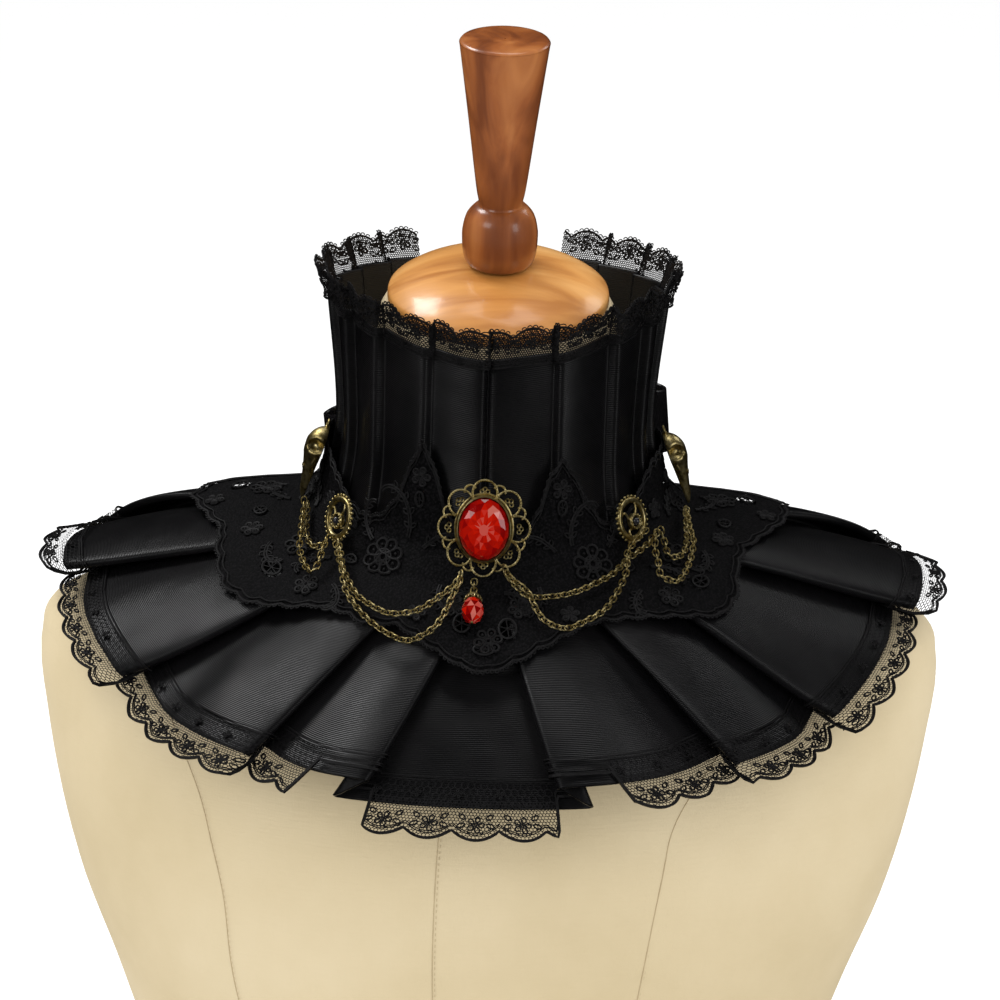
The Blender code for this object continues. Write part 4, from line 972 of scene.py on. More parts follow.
class Edging:
    """A scalloped lace edging on a strip, drawn back out of sight in the hidden spans."""

    def __init__(self, strip, scallop, below, overlap, picots, spans):
        self.strip = strip
        self.repeat, self.depth = scallop
        self.below, self.overlap = below, overlap
        self.picots = picots
        self.spans = spans
        self.width = strip.arc[-1]
        self.shape = Shape()

    def hidden(self, u):
        """0 where the lace shows, 1 where it is drawn back."""
        found = 0.0 * np.asarray(u)
        for start, end in self.spans:
            found = np.maximum(found, np.clip((np.minimum(u - start, end - u) + 0.0015) / 0.003, 0, 1))
        return found

    def reach(self, u):
        """How far the scallops reach past the edge of the cloth."""
        full = self.below + self.depth * np.abs(np.sin(np.pi * u / self.repeat)) ** 0.8
        return full - (full + 0.005) * self.hidden(u)

    def net(self, low, high, pitch, thread):
        starts, ends = hex_net(self.width, low, high, pitch, lambda u: self.reach(u) - 0.0006)
        shown = self.hidden(starts[:, 0]) < 0.9
        a, out = self.strip.at(starts[shown, 0], starts[shown, 1])
        b = self.strip.at(ends[shown, 0], ends[shown, 1])[0]
        self.shape.bands(a, b, out, thread)

    def cords(self):
        """Cords along the scallops and along the edging's inner edge: distance in, radius."""
        u = np.arange(0.0006, self.width, 0.0011)
        rim = 0.00062 if self.picots else 0.00080
        for inset, radius in ((0.0004, rim), (0.0026, 0.00032), (0.0034, 0.00030)):
            points, out = self.strip.at(u, self.reach(u) - inset, 0.0002)
            self.shape.tube(points, radius, 4, out=out)
        for back, radius in ((0.0002, 0.0004), (0.0016, 0.00024)):
            points, out = self.strip.at(u, -self.overlap + back + 0 * u, 0.0002)
            self.shape.tube(points, radius, 4, out=out)

    def thread(self, line, radius, spacing, closed=True):
        """A fine cord on the lace through points given along its edge and across it."""
        line = curve_through(line, spacing, closed)
        if closed:
            line = line[:-1]
        points, out = self.strip.at(line[:, 0], line[:, 1], 0.0003)
        self.shape.tube(points, radius, 4, out=out, closed=closed)

    def rim_picots(self):
        for u in np.arange(0.0008, self.width - 0.001, 0.0022):
            if self.hidden(u) > 0.2:
                continue
            edge = float(self.reach(u))
            self.thread([(u + x, edge + y) for x, y in PICOT_LOOP], 0.00030, 0.0007, closed=False)
            self.thread([(u + x, edge + y) for x, y in PICOT_BAR], 0.00026, 0.0009, closed=False)

    def motifs(self):
        """A flower with four leaves in each scallop, and a small flower on the cloth beside it."""
        for i in range(int(self.width / self.repeat)):
            middle = (i + 0.5) * self.repeat
            if self.hidden(middle) > 0.2:
                continue
            for line in flower(5, 0.0034):
                self.thread([(middle + x, self.below - 0.0026 + y) for x, y in line], 0.00046, 0.0008)
            for side in (-1, 1):
                for angle, x, y in ((0.5, 0.0042, -0.0010), (-0.6, 0.0040, -0.0028)):
                    line = leaf(0.0036, angle, x, y)
                    moved = [(middle + side * px, self.below - 0.0020 + py) for px, py in line]
                    self.thread(moved, 0.00042, 0.0009)
            for line in flower(4, 0.0020):
                moved = [(i * self.repeat + 0.0006 + x, -self.overlap * 0.45 + y) for x, y in line]
                if moved[0][0] > 0.003:
                    self.thread(moved, 0.00036, 0.0009)


def build_lace(name, node, edging, nets, thread):
    for low, high, pitch in nets:
        edging.net(low, high, pitch, thread)
    edging.cords()
    if edging.picots:
        edging.rim_picots()
    edging.motifs()
    obj = make(name, edging.shape, NET)
    return dress(obj, "black_lace", node)


def hem_strip():
    rows = [ruffle_row(s, LACE_LIFT) for s in (RUFFLE_ROWS[4], 1.0)]
    outs = [unit(ruffle_row(s, LACE_LIFT + 0.0005) - ruffle_row(s, LACE_LIFT)) for s in (RUFFLE_ROWS[4], 1.0)]
    return Strip(rows[0], rows[1], outs[0], outs[1], ruffle_row(1.0, 0.0))


def neck_strip():
    rows = refine(stand_points(LACE_LIFT), STAND_ROWS, (0.86, 1.0))
    lifted = refine(stand_points(LACE_LIFT + 0.0005), STAND_ROWS, (0.86, 1.0))
    outs = unit(lifted - rows)
    return FlaredStrip(rows[0], rows[1], outs[0], outs[1], stand_points(0.0)[3])


# Applique

APPLIQUE = (
    (-116.0, 0.012, 0.012), (-110.0, 0.026, 0.034), (-102.0, 0.031, 0.052), (-96.0, 0.033, 0.056),
    (-88.0, 0.032, 0.047), (-80.0, 0.032, 0.040), (-72.0, 0.029, 0.046), (-64.0, 0.024, 0.052),
    (-56.0, 0.017, 0.050), (-48.0, 0.013, 0.043), (-40.0, 0.015, 0.035), (-34.0, 0.024, 0.034),
    (-29.0, 0.042, 0.036), (-25.0, 0.052, 0.034), (-21.0, 0.044, 0.033), (-16.0, 0.026, 0.037),
    (-11.0, 0.014, 0.042), (-5.0, 0.009, 0.048), (0.0, 0.009, 0.050), (6.0, 0.010, 0.045),
    (11.0, 0.014, 0.040), (16.0, 0.026, 0.036), (20.0, 0.040, 0.033), (24.0, 0.046, 0.031),
    (28.0, 0.040, 0.031), (34.0, 0.024, 0.033), (40.0, 0.014, 0.036), (47.0, 0.011, 0.041),
    (54.0, 0.018, 0.047), (61.0, 0.027, 0.045), (68.0, 0.032, 0.036), (76.0, 0.033, 0.033),
    (84.0, 0.033, 0.040), (92.0, 0.033, 0.050), (100.0, 0.032, 0.055), (108.0, 0.028, 0.040),
    (116.0, 0.012, 0.012),
)
# Openings through the applique's ground: azimuth, up, half width in mm, half height in mm
OPENINGS = (
    (-6.5, -0.028, 3.2, 4.2), (4.5, -0.030, 3.4, 4.4), (-1.0, -0.040, 4.0, 2.2), (-60.0, -0.032, 5.0, 3.2),
    (58.0, -0.030, 4.0, 2.8), (-100.0, -0.036, 4.5, 3.0), (100.0, -0.036, 4.5, 3.0), (-25.0, 0.028, 1.6, 3.0),
    (24.0, 0.026, 1.6, 3.0), (-82.0, 0.020, 3.0, 2.4), (82.0, 0.020, 3.0, 2.4), (-44.0, -0.008, 2.8, 2.2),
    (43.0, -0.008, 2.8, 2.2), (-84.0, -0.022, 3.4, 2.4), (84.0, -0.022, 3.4, 2.4),
)
# Flowers: azimuth, up, petals, size in mm
FLOWERS = (
    (-34.0, -0.002, 8, 9.0), (32.0, -0.002, 8, 9.0), (-9.0, -0.020, 6, 5.0), (8.0, -0.020, 6, 5.0),
    (0.0, -0.036, 6, 6.0), (-25.0, 0.038, 5, 4.2), (24.0, 0.034, 5, 4.2), (-62.0, -0.014, 7, 7.5),
    (61.0, -0.012, 7, 7.5), (-48.0, -0.030, 6, 5.5), (47.0, -0.030, 6, 5.5), (-84.0, 0.006, 7, 7.0),
    (84.0, 0.006, 7, 7.0), (-98.0, -0.022, 7, 7.5), (98.0, -0.022, 7, 7.5), (-76.0, -0.028, 6, 5.0),
    (76.0, -0.024, 6, 5.0), (-104.0, 0.010, 6, 6.0), (104.0, 0.010, 6, 6.0), (-66.0, 0.012, 5, 4.5),
    (66.0, 0.012, 5, 4.5), (-18.0, -0.026, 5, 4.0), (20.0, -0.026, 5, 4.0), (-92.0, -0.044, 5, 4.5),
    (92.0, -0.042, 5, 4.5),
)
# Scrolls: azimuth, up, first heading in degrees, length in mm, end curl
SCROLLS = (
    (-28.0, 0.010, 80.0, 34.0, 1.0), (27.0, 0.008, 100.0, 30.0, -1.0), (-22.0, 0.006, 60.0, 26.0, -1.0),
    (21.0, 0.006, 120.0, 26.0, 1.0), (-40.0, 0.004, 150.0, 26.0, -1.0), (39.0, 0.004, 30.0, 26.0, 1.0),
    (-50.0, -0.012, 200.0, 22.0, 1.0), (50.0, -0.012, -20.0, 22.0, -1.0), (-14.0, -0.010, -100.0, 20.0, 1.0),
    (14.0, -0.010, -80.0, 20.0, -1.0), (-72.0, 0.004, 120.0, 24.0, 1.0), (72.0, 0.004, 60.0, 24.0, -1.0),
    (-90.0, -0.008, -110.0, 26.0, -1.0), (90.0, -0.008, -70.0, 26.0, 1.0),
    (-106.0, -0.006, 100.0, 22.0, -1.0), (106.0, -0.006, 80.0, 22.0, 1.0),
    (-68.0, -0.024, -60.0, 20.0, 1.0), (68.0, -0.020, -120.0, 20.0, -1.0),
    (-4.0, -0.012, 180.0, 16.0, 1.0), (4.0, -0.012, 0.0, 16.0, -1.0), (-42.0, -0.024, -20.0, 20.0, -1.0),
    (41.0, -0.022, 200.0, 20.0, 1.0), (-58.0, 0.004, 60.0, 18.0, -1.0), (57.0, 0.006, 120.0, 18.0, 1.0),
)
APPLIQUE_END = 116.0
RIM_LOOP = ((-0.7, 0.0), (-0.5, 1.3), (0.5, 1.3), (0.7, 0.0))  # a picot on its rim, in mm
UP_STEP = 0.001
TURN = 6.283  # a full turn of the small ovals
DEGREE_LENGTH = 0.0016  # about what a degree measures on the cover, to space the points of cords


class Cover:
    """The smooth surface over the crests of stand and ruffle: azimuth in degrees, up in metres."""

    def __init__(self):
        self.azimuths = np.arange(-120.0, 120.5, 1.0)
        self.ups = np.arange(-0.062, 0.0561, UP_STEP)
        radius, h = [], []
        for azimuth in self.azimuths:
            line, arc = cover_line(azimuth, 0.0)
            order = np.argsort(arc)
            radius.append(np.interp(self.ups, arc[order], line[order, 0]))
            h.append(np.interp(self.ups, arc[order], line[order, 1]))
        azimuth = self.azimuths[:, None] + 0 * self.ups
        self.points = place(np.array(radius), azimuth, np.array(h))
        along = np.gradient(self.points, axis=0)
        upward = np.gradient(self.points, axis=1)
        self.out = unit(np.cross(along, upward))

    def at(self, azimuth, up, lift=0.0):
        x = np.clip((np.asarray(azimuth) - self.azimuths[0]), 0, len(self.azimuths) - 1.001)
        y = np.clip((np.asarray(up) - self.ups[0]) / UP_STEP, 0, len(self.ups) - 1.001)
        i, j = x.astype(int), y.astype(int)
        a, b = (x - i)[..., None], (y - j)[..., None]

        def mix(grid):
            low = grid[i, j] * (1 - a) + grid[i + 1, j] * a
            high = grid[i, j + 1] * (1 - a) + grid[i + 1, j + 1] * a
            return low * (1 - b) + high * b

        out = unit(mix(self.out))
        return mix(self.points) + out * np.asarray(lift)[..., None], out

    def local(self, azimuth, up):
        """A function from millimetre offsets round a spot to azimuth and up."""
        point, _ = self.at(np.array([azimuth]), np.array([up]))
        radius = float(np.hypot(point[0, 0], point[0, 1]))
        degree = radius * math.pi / 180
        return lambda x, y: (azimuth + np.asarray(x) * 0.001 / degree, up + np.asarray(y) * 0.001)


def applique_edges(azimuth):
    up = np.interp(azimuth, column(APPLIQUE, 0), column(APPLIQUE, 1))
    down = np.interp(azimuth, column(APPLIQUE, 0), column(APPLIQUE, 2))
    wave = 0.0016 * np.abs(np.sin(np.radians(azimuth) * 33)) - 0.0004
    return up + wave, -down - wave


def applique_ground(cover):
    """The applique's bumpy ground with its openings: an outer and an inner face over the same grid."""
    azimuths = np.arange(-APPLIQUE_END, APPLIQUE_END + 0.01, 0.75)
    shares = np.linspace(0, 1, 49)
    top, bottom = applique_edges(azimuths)
    up = top[None, :] + (bottom - top)[None, :] * shares[:, None]
    azimuth = azimuths[None, :] + 0 * up
    lift = 0.0012 + 0.0004 * np.sin(azimuth * 2.1) * np.sin(up * 1900)
    keep = np.ones(up.shape, bool)
    for at, height, half, tall in OPENINGS:
        spot = cover.at(np.array([at]), np.array([height]))[0]
        degree = float(np.hypot(spot[0, 0], spot[0, 1])) * math.pi / 180
        keep &= (((azimuth - at) * degree * 1000 / half) ** 2 + ((up - height) * 1000 / tall) ** 2) > 1
    faces = grid_faces(*up.shape)
    faces = faces[keep.reshape(-1)[faces].all(axis=1)]
    shape = Shape()
    shape.add(cover.at(azimuth, up, lift)[0], faces)
    shape.add(cover.at(azimuth, up, 0.0008)[0], faces[:, ::-1])
    obj = make("applique_ground", shape, GROUND, 80)
    dress(obj, "black_lace", "yoke_applique")


def spot_oval(spot, half, tall, count):
    """Azimuth and up of points round an oval at a spot, its half sizes in millimetres."""
    turns = np.linspace(0, TURN, count + 1)[:-1]
    return np.array([spot(half * math.cos(t), tall * math.sin(t)) for t in turns])


def corded_flower(shape, cover, at, height, petals, size):
    spot = cover.local(at, height)
    for line in flower(petals, size):
        moved = np.array([spot(x, y) for x, y in line])
        applique_cord(shape, cover, moved, 0.00062, True)
    applique_cord(shape, cover, spot_oval(spot, 0.42 * size, 0.42 * size, 10), 0.00045, True)
    for t in np.linspace(0, 2 * math.pi, petals, endpoint=False):
        x, y = spot(0.66 * size * math.sin(t + 0.3), 0.66 * size * math.cos(t + 0.3))
        centre = cover.at(np.array([x]), np.array([y]), 0.0018)[0]
        shape.ball(centre[0], 0.0008, 6, 4)


def corded_opening(shape, cover, at, height, half, tall):
    """A cord round an opening with three bars across it."""
    spot = cover.local(at, height)
    applique_cord(shape, cover, spot_oval(spot, half + 0.3, tall + 0.3, 12), 0.0006, True)
    for t in (0.6, 1.7, 2.9):
        bar = [spot(half * math.cos(t) * k, tall * math.sin(t) * k) for k in (-1.0, 0.0, 1.0)]
        applique_cord(shape, cover, np.array(bar), 0.00028, False)


def applique_cords(cover):
    shape = Shape()
    rim_thread(shape, cover)
    for row in FLOWERS:
        corded_flower(shape, cover, *row)
    for row in SCROLLS:
        scroll(shape, cover, *row)
    for row in OPENINGS:
        corded_opening(shape, cover, *row)
    dress(make("applique_cords", shape, CORD, 60), "black_lace")


def applique_cord(shape, cover, line, radius, closed):
    """A thread laid on the cover, through points given as azimuth and up."""
    scaled = np.array(line) * (DEGREE_LENGTH, 1.0)
    scaled = curve_through(scaled, 0.0009, closed)
    if closed:
        scaled = scaled[:-1]
    points, out = cover.at(scaled[:, 0] / DEGREE_LENGTH, scaled[:, 1], 0.0019)
    shape.tube(points, radius, 5, out=out, closed=closed)


def rim_thread(shape, cover):
    azimuths = np.arange(-APPLIQUE_END, APPLIQUE_END + 0.01, 0.5)
    top, bottom = applique_edges(azimuths)
    for edge, side in ((top, 1), (bottom, -1)):
        for inset, radius in ((0.0, 0.0006), (0.0024, 0.00036)):
            points, out = cover.at(azimuths, edge - side * inset, 0.0018)
            shape.tube(points, radius, 5, out=out)
        for azimuth, height in zip(azimuths[::2], edge[::2]):
            spot = cover.local(azimuth, height)
            loop = np.array([spot(x, side * y) for x, y in RIM_LOOP])
            applique_cord(shape, cover, loop, 0.0003, False)


def scroll(shape, cover, at, height, heading, length, curl):
    """A curling stem of two cords with leaves along it."""
    spot = cover.local(at, height)
    steps = 22
    angle = math.radians(heading)
    x, y = 0.0, 0.0
    middle = []
    for i in range(steps):
        middle.append((x, y))
        angle += curl * (0.05 + 0.30 * (i / steps) ** 2.2)
        x += length / steps * math.cos(angle)
        y += length / steps * math.sin(angle)
    middle = np.array(middle)
    across = np.gradient(middle, axis=0)
    across = unit(np.stack([-across[:, 1], across[:, 0]], axis=1))
    for side in (-0.55, 0.55):
        line = np.array([spot(px, py) for px, py in middle + across * side])
        applique_cord(shape, cover, line, 0.0005, False)
    for i in range(3, steps - 5, 4):
        direction = math.atan2(middle[i + 1][1] - middle[i][1], middle[i + 1][0] - middle[i][0])
        for side in (-1, 1):
            line = leaf(3.6, direction + side * 0.9, middle[i][0], middle[i][1])
            moved = np.array([spot(px, py) for px, py in line])
            applique_cord(shape, cover, moved, 0.0004, True)


# Metalwork

SETTING_CENTRE = (-0.0032, -0.0816, 0.0122)
SETTING_LEAN = 11.0
SETTING_SIZE = (0.0203, 0.0214)
BEZEL_OUTER = (0.0118, 0.0143)
BEZEL_INNER = (0.0110, 0.0135)
# The collar round the stone, from its outer foot over the rim to its inner foot: half sizes, height
SETTING_COLLAR = (
    ((0.0116, 0.0141), 0.0002), (BEZEL_OUTER, 0.0006), (BEZEL_OUTER, 0.0040), ((0.0116, 0.0141), 0.0049),
    ((0.0112, 0.0137), 0.0050), (BEZEL_INNER, 0.0044), (BEZEL_INNER, 0.0010),
)
GEM_HALF = (0.0108, 0.0133)
# Rings of the faceted stone: share of its half sizes, height
GEM_RINGS = ((1.0, 0.0016), (1.0, 0.0046), (0.86, 0.0061), (0.66, 0.0072), (0.42, 0.0080), (0.18, 0.0084))
# Painted light of the stone's facets: how bright each face is painted, in place of reflections.
GEM_PAINTED_LIGHT = (0.30, 0.62, 0.42, 0.75, 0.52, 0.86, 0.36, 0.68, 0.48, 0.58, 0.78)
# Turned profiles as radius and height: the drop's bead and cap from its top, the gears' rim and hub
BEAD_RINGS = (
    (0.0010, 0.0109), (0.0034, 0.0122), (0.0046, 0.0150), (0.0048, 0.0180), (0.0036, 0.0216), (0.0010, 0.0233),
)
# Painted light of the drop bead's facets, in place of reflections.
BEAD_PAINTED_LIGHT = (0.40, 0.78, 0.25, 0.90, 0.55, 1.0, 0.35)
DROP_CAP = (
    (0.0009, 0.0074), (0.0017, 0.0078), (0.0030, 0.0092), (0.0036, 0.0106), (0.0034, 0.0108), (0.0015, 0.0082),
)
GEAR_RIM = (
    (0.0094, 0.0002), (0.0097, 0.0006), (0.0097, 0.0014), (0.0092, 0.0019), (0.0078, 0.0019), (0.0073, 0.0014),
    (0.0073, 0.0002),
)
GEAR_HUB = ((0.0036, 0.0004), (0.0036, 0.0022), (0.0030, 0.0026), (0.0024, 0.0024), (0.0024, 0.0006))
FRONT = (0.0, 0.0, 1.0)  # a plate's outward direction in its own frame
DROP_TOP = (-0.0067, -0.0880, -0.0095)
DROP_MIDDLE = (-0.0071, -0.1048, -0.0190)
GEARS = {
    "gear_right": ((0.0610, -0.0532, 0.0091), 49.0, 16.0),
    "gear_left": ((-0.0670, -0.0520, 0.0055), -55.0, 16.0),
}
SKULLS = {
    "skull_right": ((0.0835, -0.0060, 0.0195), 86.0, 22.0),
    "skull_left": ((-0.0811, -0.0149, 0.0202), -83.0, 20.0),
}
SKULL_CHEEK = ((0.0064, 0.0035, 0.0016), (0.0056, -0.0005, 0.0022), (0.0042, -0.0050, 0.0018))
# Charm sections from crown to beak tip: height along the charm, half width, depth
SKULL_SECTIONS = (
    (0.0175, 0.0012, 0.0016), (0.0160, 0.0042, 0.0042), (0.0130, 0.0062, 0.0066), (0.0090, 0.0070, 0.0078),
    (0.0050, 0.0066, 0.0076), (0.0010, 0.0052, 0.0064), (-0.0040, 0.0042, 0.0050), (-0.0090, 0.0032, 0.0038),
    (-0.0140, 0.0020, 0.0026), (-0.0175, 0.0006, 0.0010),
)


def facing(points, centre, azimuth, lean):
    """Points with x to the right, y up and z outwards, set on a plate that faces an azimuth and leans up."""
    a, e = math.radians(azimuth), math.radians(lean)
    out = np.array([math.sin(a) * math.cos(e), -math.cos(a) * math.cos(e), math.sin(e)])
    right = np.array([math.cos(a), math.sin(a), 0.0])
    up = np.cross(out, right)
    points = np.asarray(points, float)
    turned = points[..., :1] * right + points[..., 1:2] * up + points[..., 2:3] * out
    return turned + (centre[0], centre[1], NECK_Z + centre[2])


def plate_shape(shape, centre, azimuth, lean):
    """The gathered parts moved from the plate's own frame to its place."""
    shape.points = [facing(points, centre, azimuth, lean) for points in shape.points]
    return shape


def oval(half, height, around, step=0):
    """Points round an oval, turned by step halves of the angle between two of them."""
    turn = 2 * math.pi * (np.arange(around) + 0.5 * step) / around
    return np.stack([half[0] * np.sin(turn), half[1] * np.cos(turn), height + 0 * turn], axis=1)


def turned(profile, around):
    """Rings of a round profile given as radius and height."""
    return [oval((size, size), height, around) for size, height in profile]


def petal_arc(middle, radius, angle, opening, height, count):
    """The outer part of a round petal whose middle lies off the centre, as shares of the setting's size."""
    found = []
    for t in np.linspace(-opening, opening, count):
        x = middle * math.sin(angle) + radius * math.sin(angle + t)
        y = middle * math.cos(angle) + radius * math.cos(angle + t)
        found.append((SETTING_SIZE[0] * x, SETTING_SIZE[1] * y, height))
    return found


def beaded_petal(shape, line, wire, spacing, bead):
    """A petal's wire with a row of beads on it."""
    shape.tube(line, wire, 6, out=FRONT)
    for x, y, z in curve_through(line, spacing):
        shape.ball((x, y, z + 0.0003), bead, 6, 4)


def build_setting():
    shape = Shape()
    for i in range(8):
        angle = math.pi * i / 4
        large = petal_arc(0.71, 0.262, angle, 1.95, 0.0011, 22)
        beaded_petal(shape, large, 0.00052, 0.00115, 0.00052)
        small = petal_arc(0.80, 0.125, angle + math.pi / 8, 1.35, 0.0008, 12)
        beaded_petal(shape, small, 0.00050, 0.0011, 0.00046)
        for turn in (-0.75, 0.0, 0.75):
            away = 0.70 + 0.085 * math.cos(turn * 1.4)
            bend = angle + 0.105 * turn
            x, y = SETTING_SIZE[0] * away * math.sin(bend), SETTING_SIZE[1] * away * math.cos(bend)
            ring = np.array((x, y, 0.0012)) + oval((0.00088, 0.00088), 0.0, 9)
            shape.tube(ring, 0.00034, 5, out=FRONT, closed=True)
    shape.grid([oval(half, height, 48) for half, height in SETTING_COLLAR], close_across=True)
    back = [oval((0.0001, 0.0001), 0.0008, 48), oval((0.0112, 0.0137), 0.0008, 48)]
    shape.grid(back, close_across=True)
    shape.tube(oval((0.0124, 0.0149), 0.0009, 60), 0.0005, 6, out=FRONT, closed=True)
    plate_shape(shape, SETTING_CENTRE, 0.0, SETTING_LEAN)
    obj = make("setting_filigree", shape, BRONZE, 50)
    dress(obj, "aged_bronze", "brooch_setting")


def facet_body(rings, painted_lights, close_top):
    """Rings of points, every other one turned by half a step, joined by triangles, each with a painted light
    value that paints its facet lit or shaded.
    """
    points = np.concatenate(rings)
    around = len(rings[0])
    faces, face_painted_light = [], []
    for r in range(len(rings) - 1):
        for i in range(around):
            n = (i + 1) % around
            a, b = r * around + i, r * around + n
            c, d = (r + 1) * around + i, (r + 1) * around + n
            if r % 2:
                faces += [(a, b, d), (a, d, c)]
            else:
                faces += [(a, b, c), (b, d, c)]
            face_painted_light += [painted_lights[(3 * i + 5 * r) % len(painted_lights)], painted_lights[(5 * i + 2 * r + 3) % len(painted_lights)]]
    if close_top:
        faces.append(tuple((len(rings) - 1) * around + i for i in range(around)))
        face_painted_light.append(painted_lights[3])
    return points, faces, face_painted_light


def faceted(name, points, faces, face_painted_light, node):
    mesh = bpy.data.meshes.new(name)
    mesh.from_pydata(np.asarray(points).tolist(), [], faces)
    mesh.materials.append(RED)
    # Each face carries its painted light value, which the red glass turns into a painted lit or shaded facet.
    painted_light = mesh.attributes.new("painted_light", "FLOAT", "FACE")
    painted_light.data.foreach_set("value", np.array(face_painted_light, np.float32))
    obj = bpy.data.objects.new(name, mesh)
    bpy.context.scene.collection.objects.link(obj)
    dress(obj, "red_glass", node)


def build_gem():
    rings = []
    for r, (share, height) in enumerate(GEM_RINGS):
        rings.append(oval((GEM_HALF[0] * share, GEM_HALF[1] * share), height, 16, r % 2))
    points, faces, face_painted_light = facet_body(rings, GEM_PAINTED_LIGHT, True)
    for i, face in enumerate(faces):
        middle = points[list(face)].mean(axis=0)
        x, y = middle[0] / GEM_HALF[0], middle[1] / GEM_HALF[1]
        reach = math.hypot(x, y)
        # Painted light in the stone's middle, painted shade towards its rim.
        face_painted_light[i] = min(0.93, max(0.08, face_painted_light[i] * 0.55 + 0.50 - 0.45 * reach**2))
        # A patch of facets at the upper right is a painted highlight.
        if 0.12 < x < 0.62 and 0.42 < y < 0.72:
            face_painted_light[i] = 1.0
    faceted("gem_facets", facing(points, SETTING_CENTRE, 0.0, SETTING_LEAN), faces, face_painted_light, "brooch_gem")


def axis_frame():
    start, end = np.array(DROP_TOP), np.array(DROP_MIDDLE)
    axis = unit(end - start)
    side = unit(np.cross(axis, (1.0, 0.0, 0.0)))
    return start + (0, 0, NECK_Z), axis, side, np.cross(axis, side)


def along_axis(rings):
    """Rings of local points moved onto the pendant's own axis, their third number counted along it."""
    start, axis, side, other = axis_frame()
    return [start + ring[:, :1] * side + ring[:, 1:2] * other + ring[:, 2:3] * axis for ring in rings]


def build_drop():
    rings = []
    for r, (size, height) in enumerate(BEAD_RINGS):
        rings.append(oval((size, size), height, 9, r % 2))
    faceted("drop_facets", *facet_body(along_axis(rings), BEAD_PAINTED_LIGHT, True), "drop_bead")
    start, axis, side, other = axis_frame()
    shape = Shape()
    shape.grid(along_axis(turned(DROP_CAP, 20)), close_across=True)
    for i in range(8):
        t = 2 * math.pi * i / 8
        ring = oval((0.0007, 0.0007), 0.0, 8)
        away = side * math.cos(t) + other * math.sin(t)
        across = -side * math.sin(t) + other * math.cos(t)
        middle = start + axis * 0.0112 + away * 0.0036
        shape.tube(middle + ring[:, :1] * across + ring[:, 1:2] * axis, 0.00028, 5, out=away, closed=True)
    shape.ball(start + axis * 0.0236, 0.0007, 8, 5)
    for i, reach in enumerate((0.0008, 0.0033, 0.0058)):
        across = side if i % 2 else other
        loop = link_loop(start + axis * reach, axis, across)
        shape.tube(loop, LINK[2], 6, out=np.cross(axis, across), closed=True)
    dress(make("drop_cap_detail", shape, BRONZE, 50), "aged_bronze", "drop_cap")


def build_gear(name, centre, azimuth, lean):
    """A beaded rim, four arms and a hub beside the middle that holds a black bead."""
    shape = Shape()
    shape.grid(turned(GEAR_RIM, 48), close_across=True)
    for i in range(28):
        t = 2 * math.pi * i / 28
        shape.ball((0.0103 * math.sin(t), 0.0103 * math.cos(t), 0.0009), 0.00072, 7, 5)
    hub = np.array((0.0008, -0.0012, 0.0))
    for i in range(4):
        t = 0.4 + math.pi * i / 2
        arm = [hub + (0.0032 * math.sin(t), 0.0032 * math.cos(t), 0.0012)]
        arm.append(np.array((0.0056 * math.sin(t + 0.25), 0.0056 * math.cos(t + 0.25), 0.0012)))
        arm.append(np.array((0.0076 * math.sin(t), 0.0076 * math.cos(t), 0.0012)))
        shape.tube(curve_through(arm, 0.0006), 0.00055, 6, out=FRONT)
    shape.grid([ring + hub for ring in turned(GEAR_HUB, 28)], close_across=True)
    for i in range(13):
        t = 2 * math.pi * i / 13
        shape.ball(hub + (0.0031 * math.sin(t), 0.0031 * math.cos(t), 0.0027), 0.00058, 6, 4)
    plate_shape(shape, centre, azimuth, lean)
    dress(make("detail_" + name, shape, BRONZE, 50), "aged_bronze", name)
    shape = Shape()
    shape.ball(hub + (0, 0, 0.0022), 0.0019, 16, 9)
    plate_shape(shape, centre, azimuth, lean)
    dress(make("bead_" + name, shape, JET, 80), "black_faille")


def skull_ring(y, half, depth, around):
    turn = 2 * math.pi * np.arange(around) / around
    rise = np.where(np.sin(turn) > 0, np.sin(turn), 0.1 * np.sin(turn))
    return np.stack([half * np.cos(turn), y + 0 * turn, depth * rise], axis=1)


def build_skull(name, centre, azimuth, lean):
    heights = np.linspace(0.0175, -0.0175, 36)
    keys = column(SKULL_SECTIONS, 0)[::-1]
    half = smooth(heights, keys, column(SKULL_SECTIONS, 1)[::-1])
    depth = smooth(heights, keys, column(SKULL_SECTIONS, 2)[::-1])
    rings = np.array([skull_ring(y, a, b, 28) for y, a, b in zip(heights, half, depth)])
    eye = np.hypot(rings[..., 1] - 0.0085, rings[..., 2] - 0.0036)
    dent = np.clip(1 - (eye / 0.0034) ** 2, 0, 1) * np.sign(rings[..., 0]) * (rings[..., 2] > 0.0003)
    rings[..., 0] -= dent * 0.0042
    brow = np.exp(-(((eye - 0.0038) / 0.0009) ** 2)) * np.sign(rings[..., 0]) * (rings[..., 2] > 0.0003)
    rings[..., 0] += brow * 0.00045
    split_line = np.exp(-(((rings[..., 2] - 0.0016) / 0.0004) ** 2)) * (rings[..., 1] < 0.0)
    rings[..., 0] *= 1 - 0.18 * split_line
    shape = Shape()
    shape.grid(rings, close_across=True)
    shape.ball((0.0, 0.0172, 0.0008), 0.0013, 10, 6)
    shape.tube(oval((0.0019, 0.0019), 0.0012, 12) + (0.0, 0.0190, 0.0), 0.00045, 6, out=FRONT, closed=True)
    for side in (-1, 1):
        cheek = [(side * x, y, z) for x, y, z in SKULL_CHEEK]
        shape.tube(curve_through(cheek, 0.0008), 0.0006, 6, out=FRONT)
        shape.ball((side * 0.0018, -0.0030, 0.0052), 0.0006, 8, 5, (0.6, 1.8, 0.5))
    obj = make("detail_" + name, plate_shape(shape, centre, azimuth, lean), BRONZE, 60)
    dress(obj, "aged_bronze", name)


# Ribbon

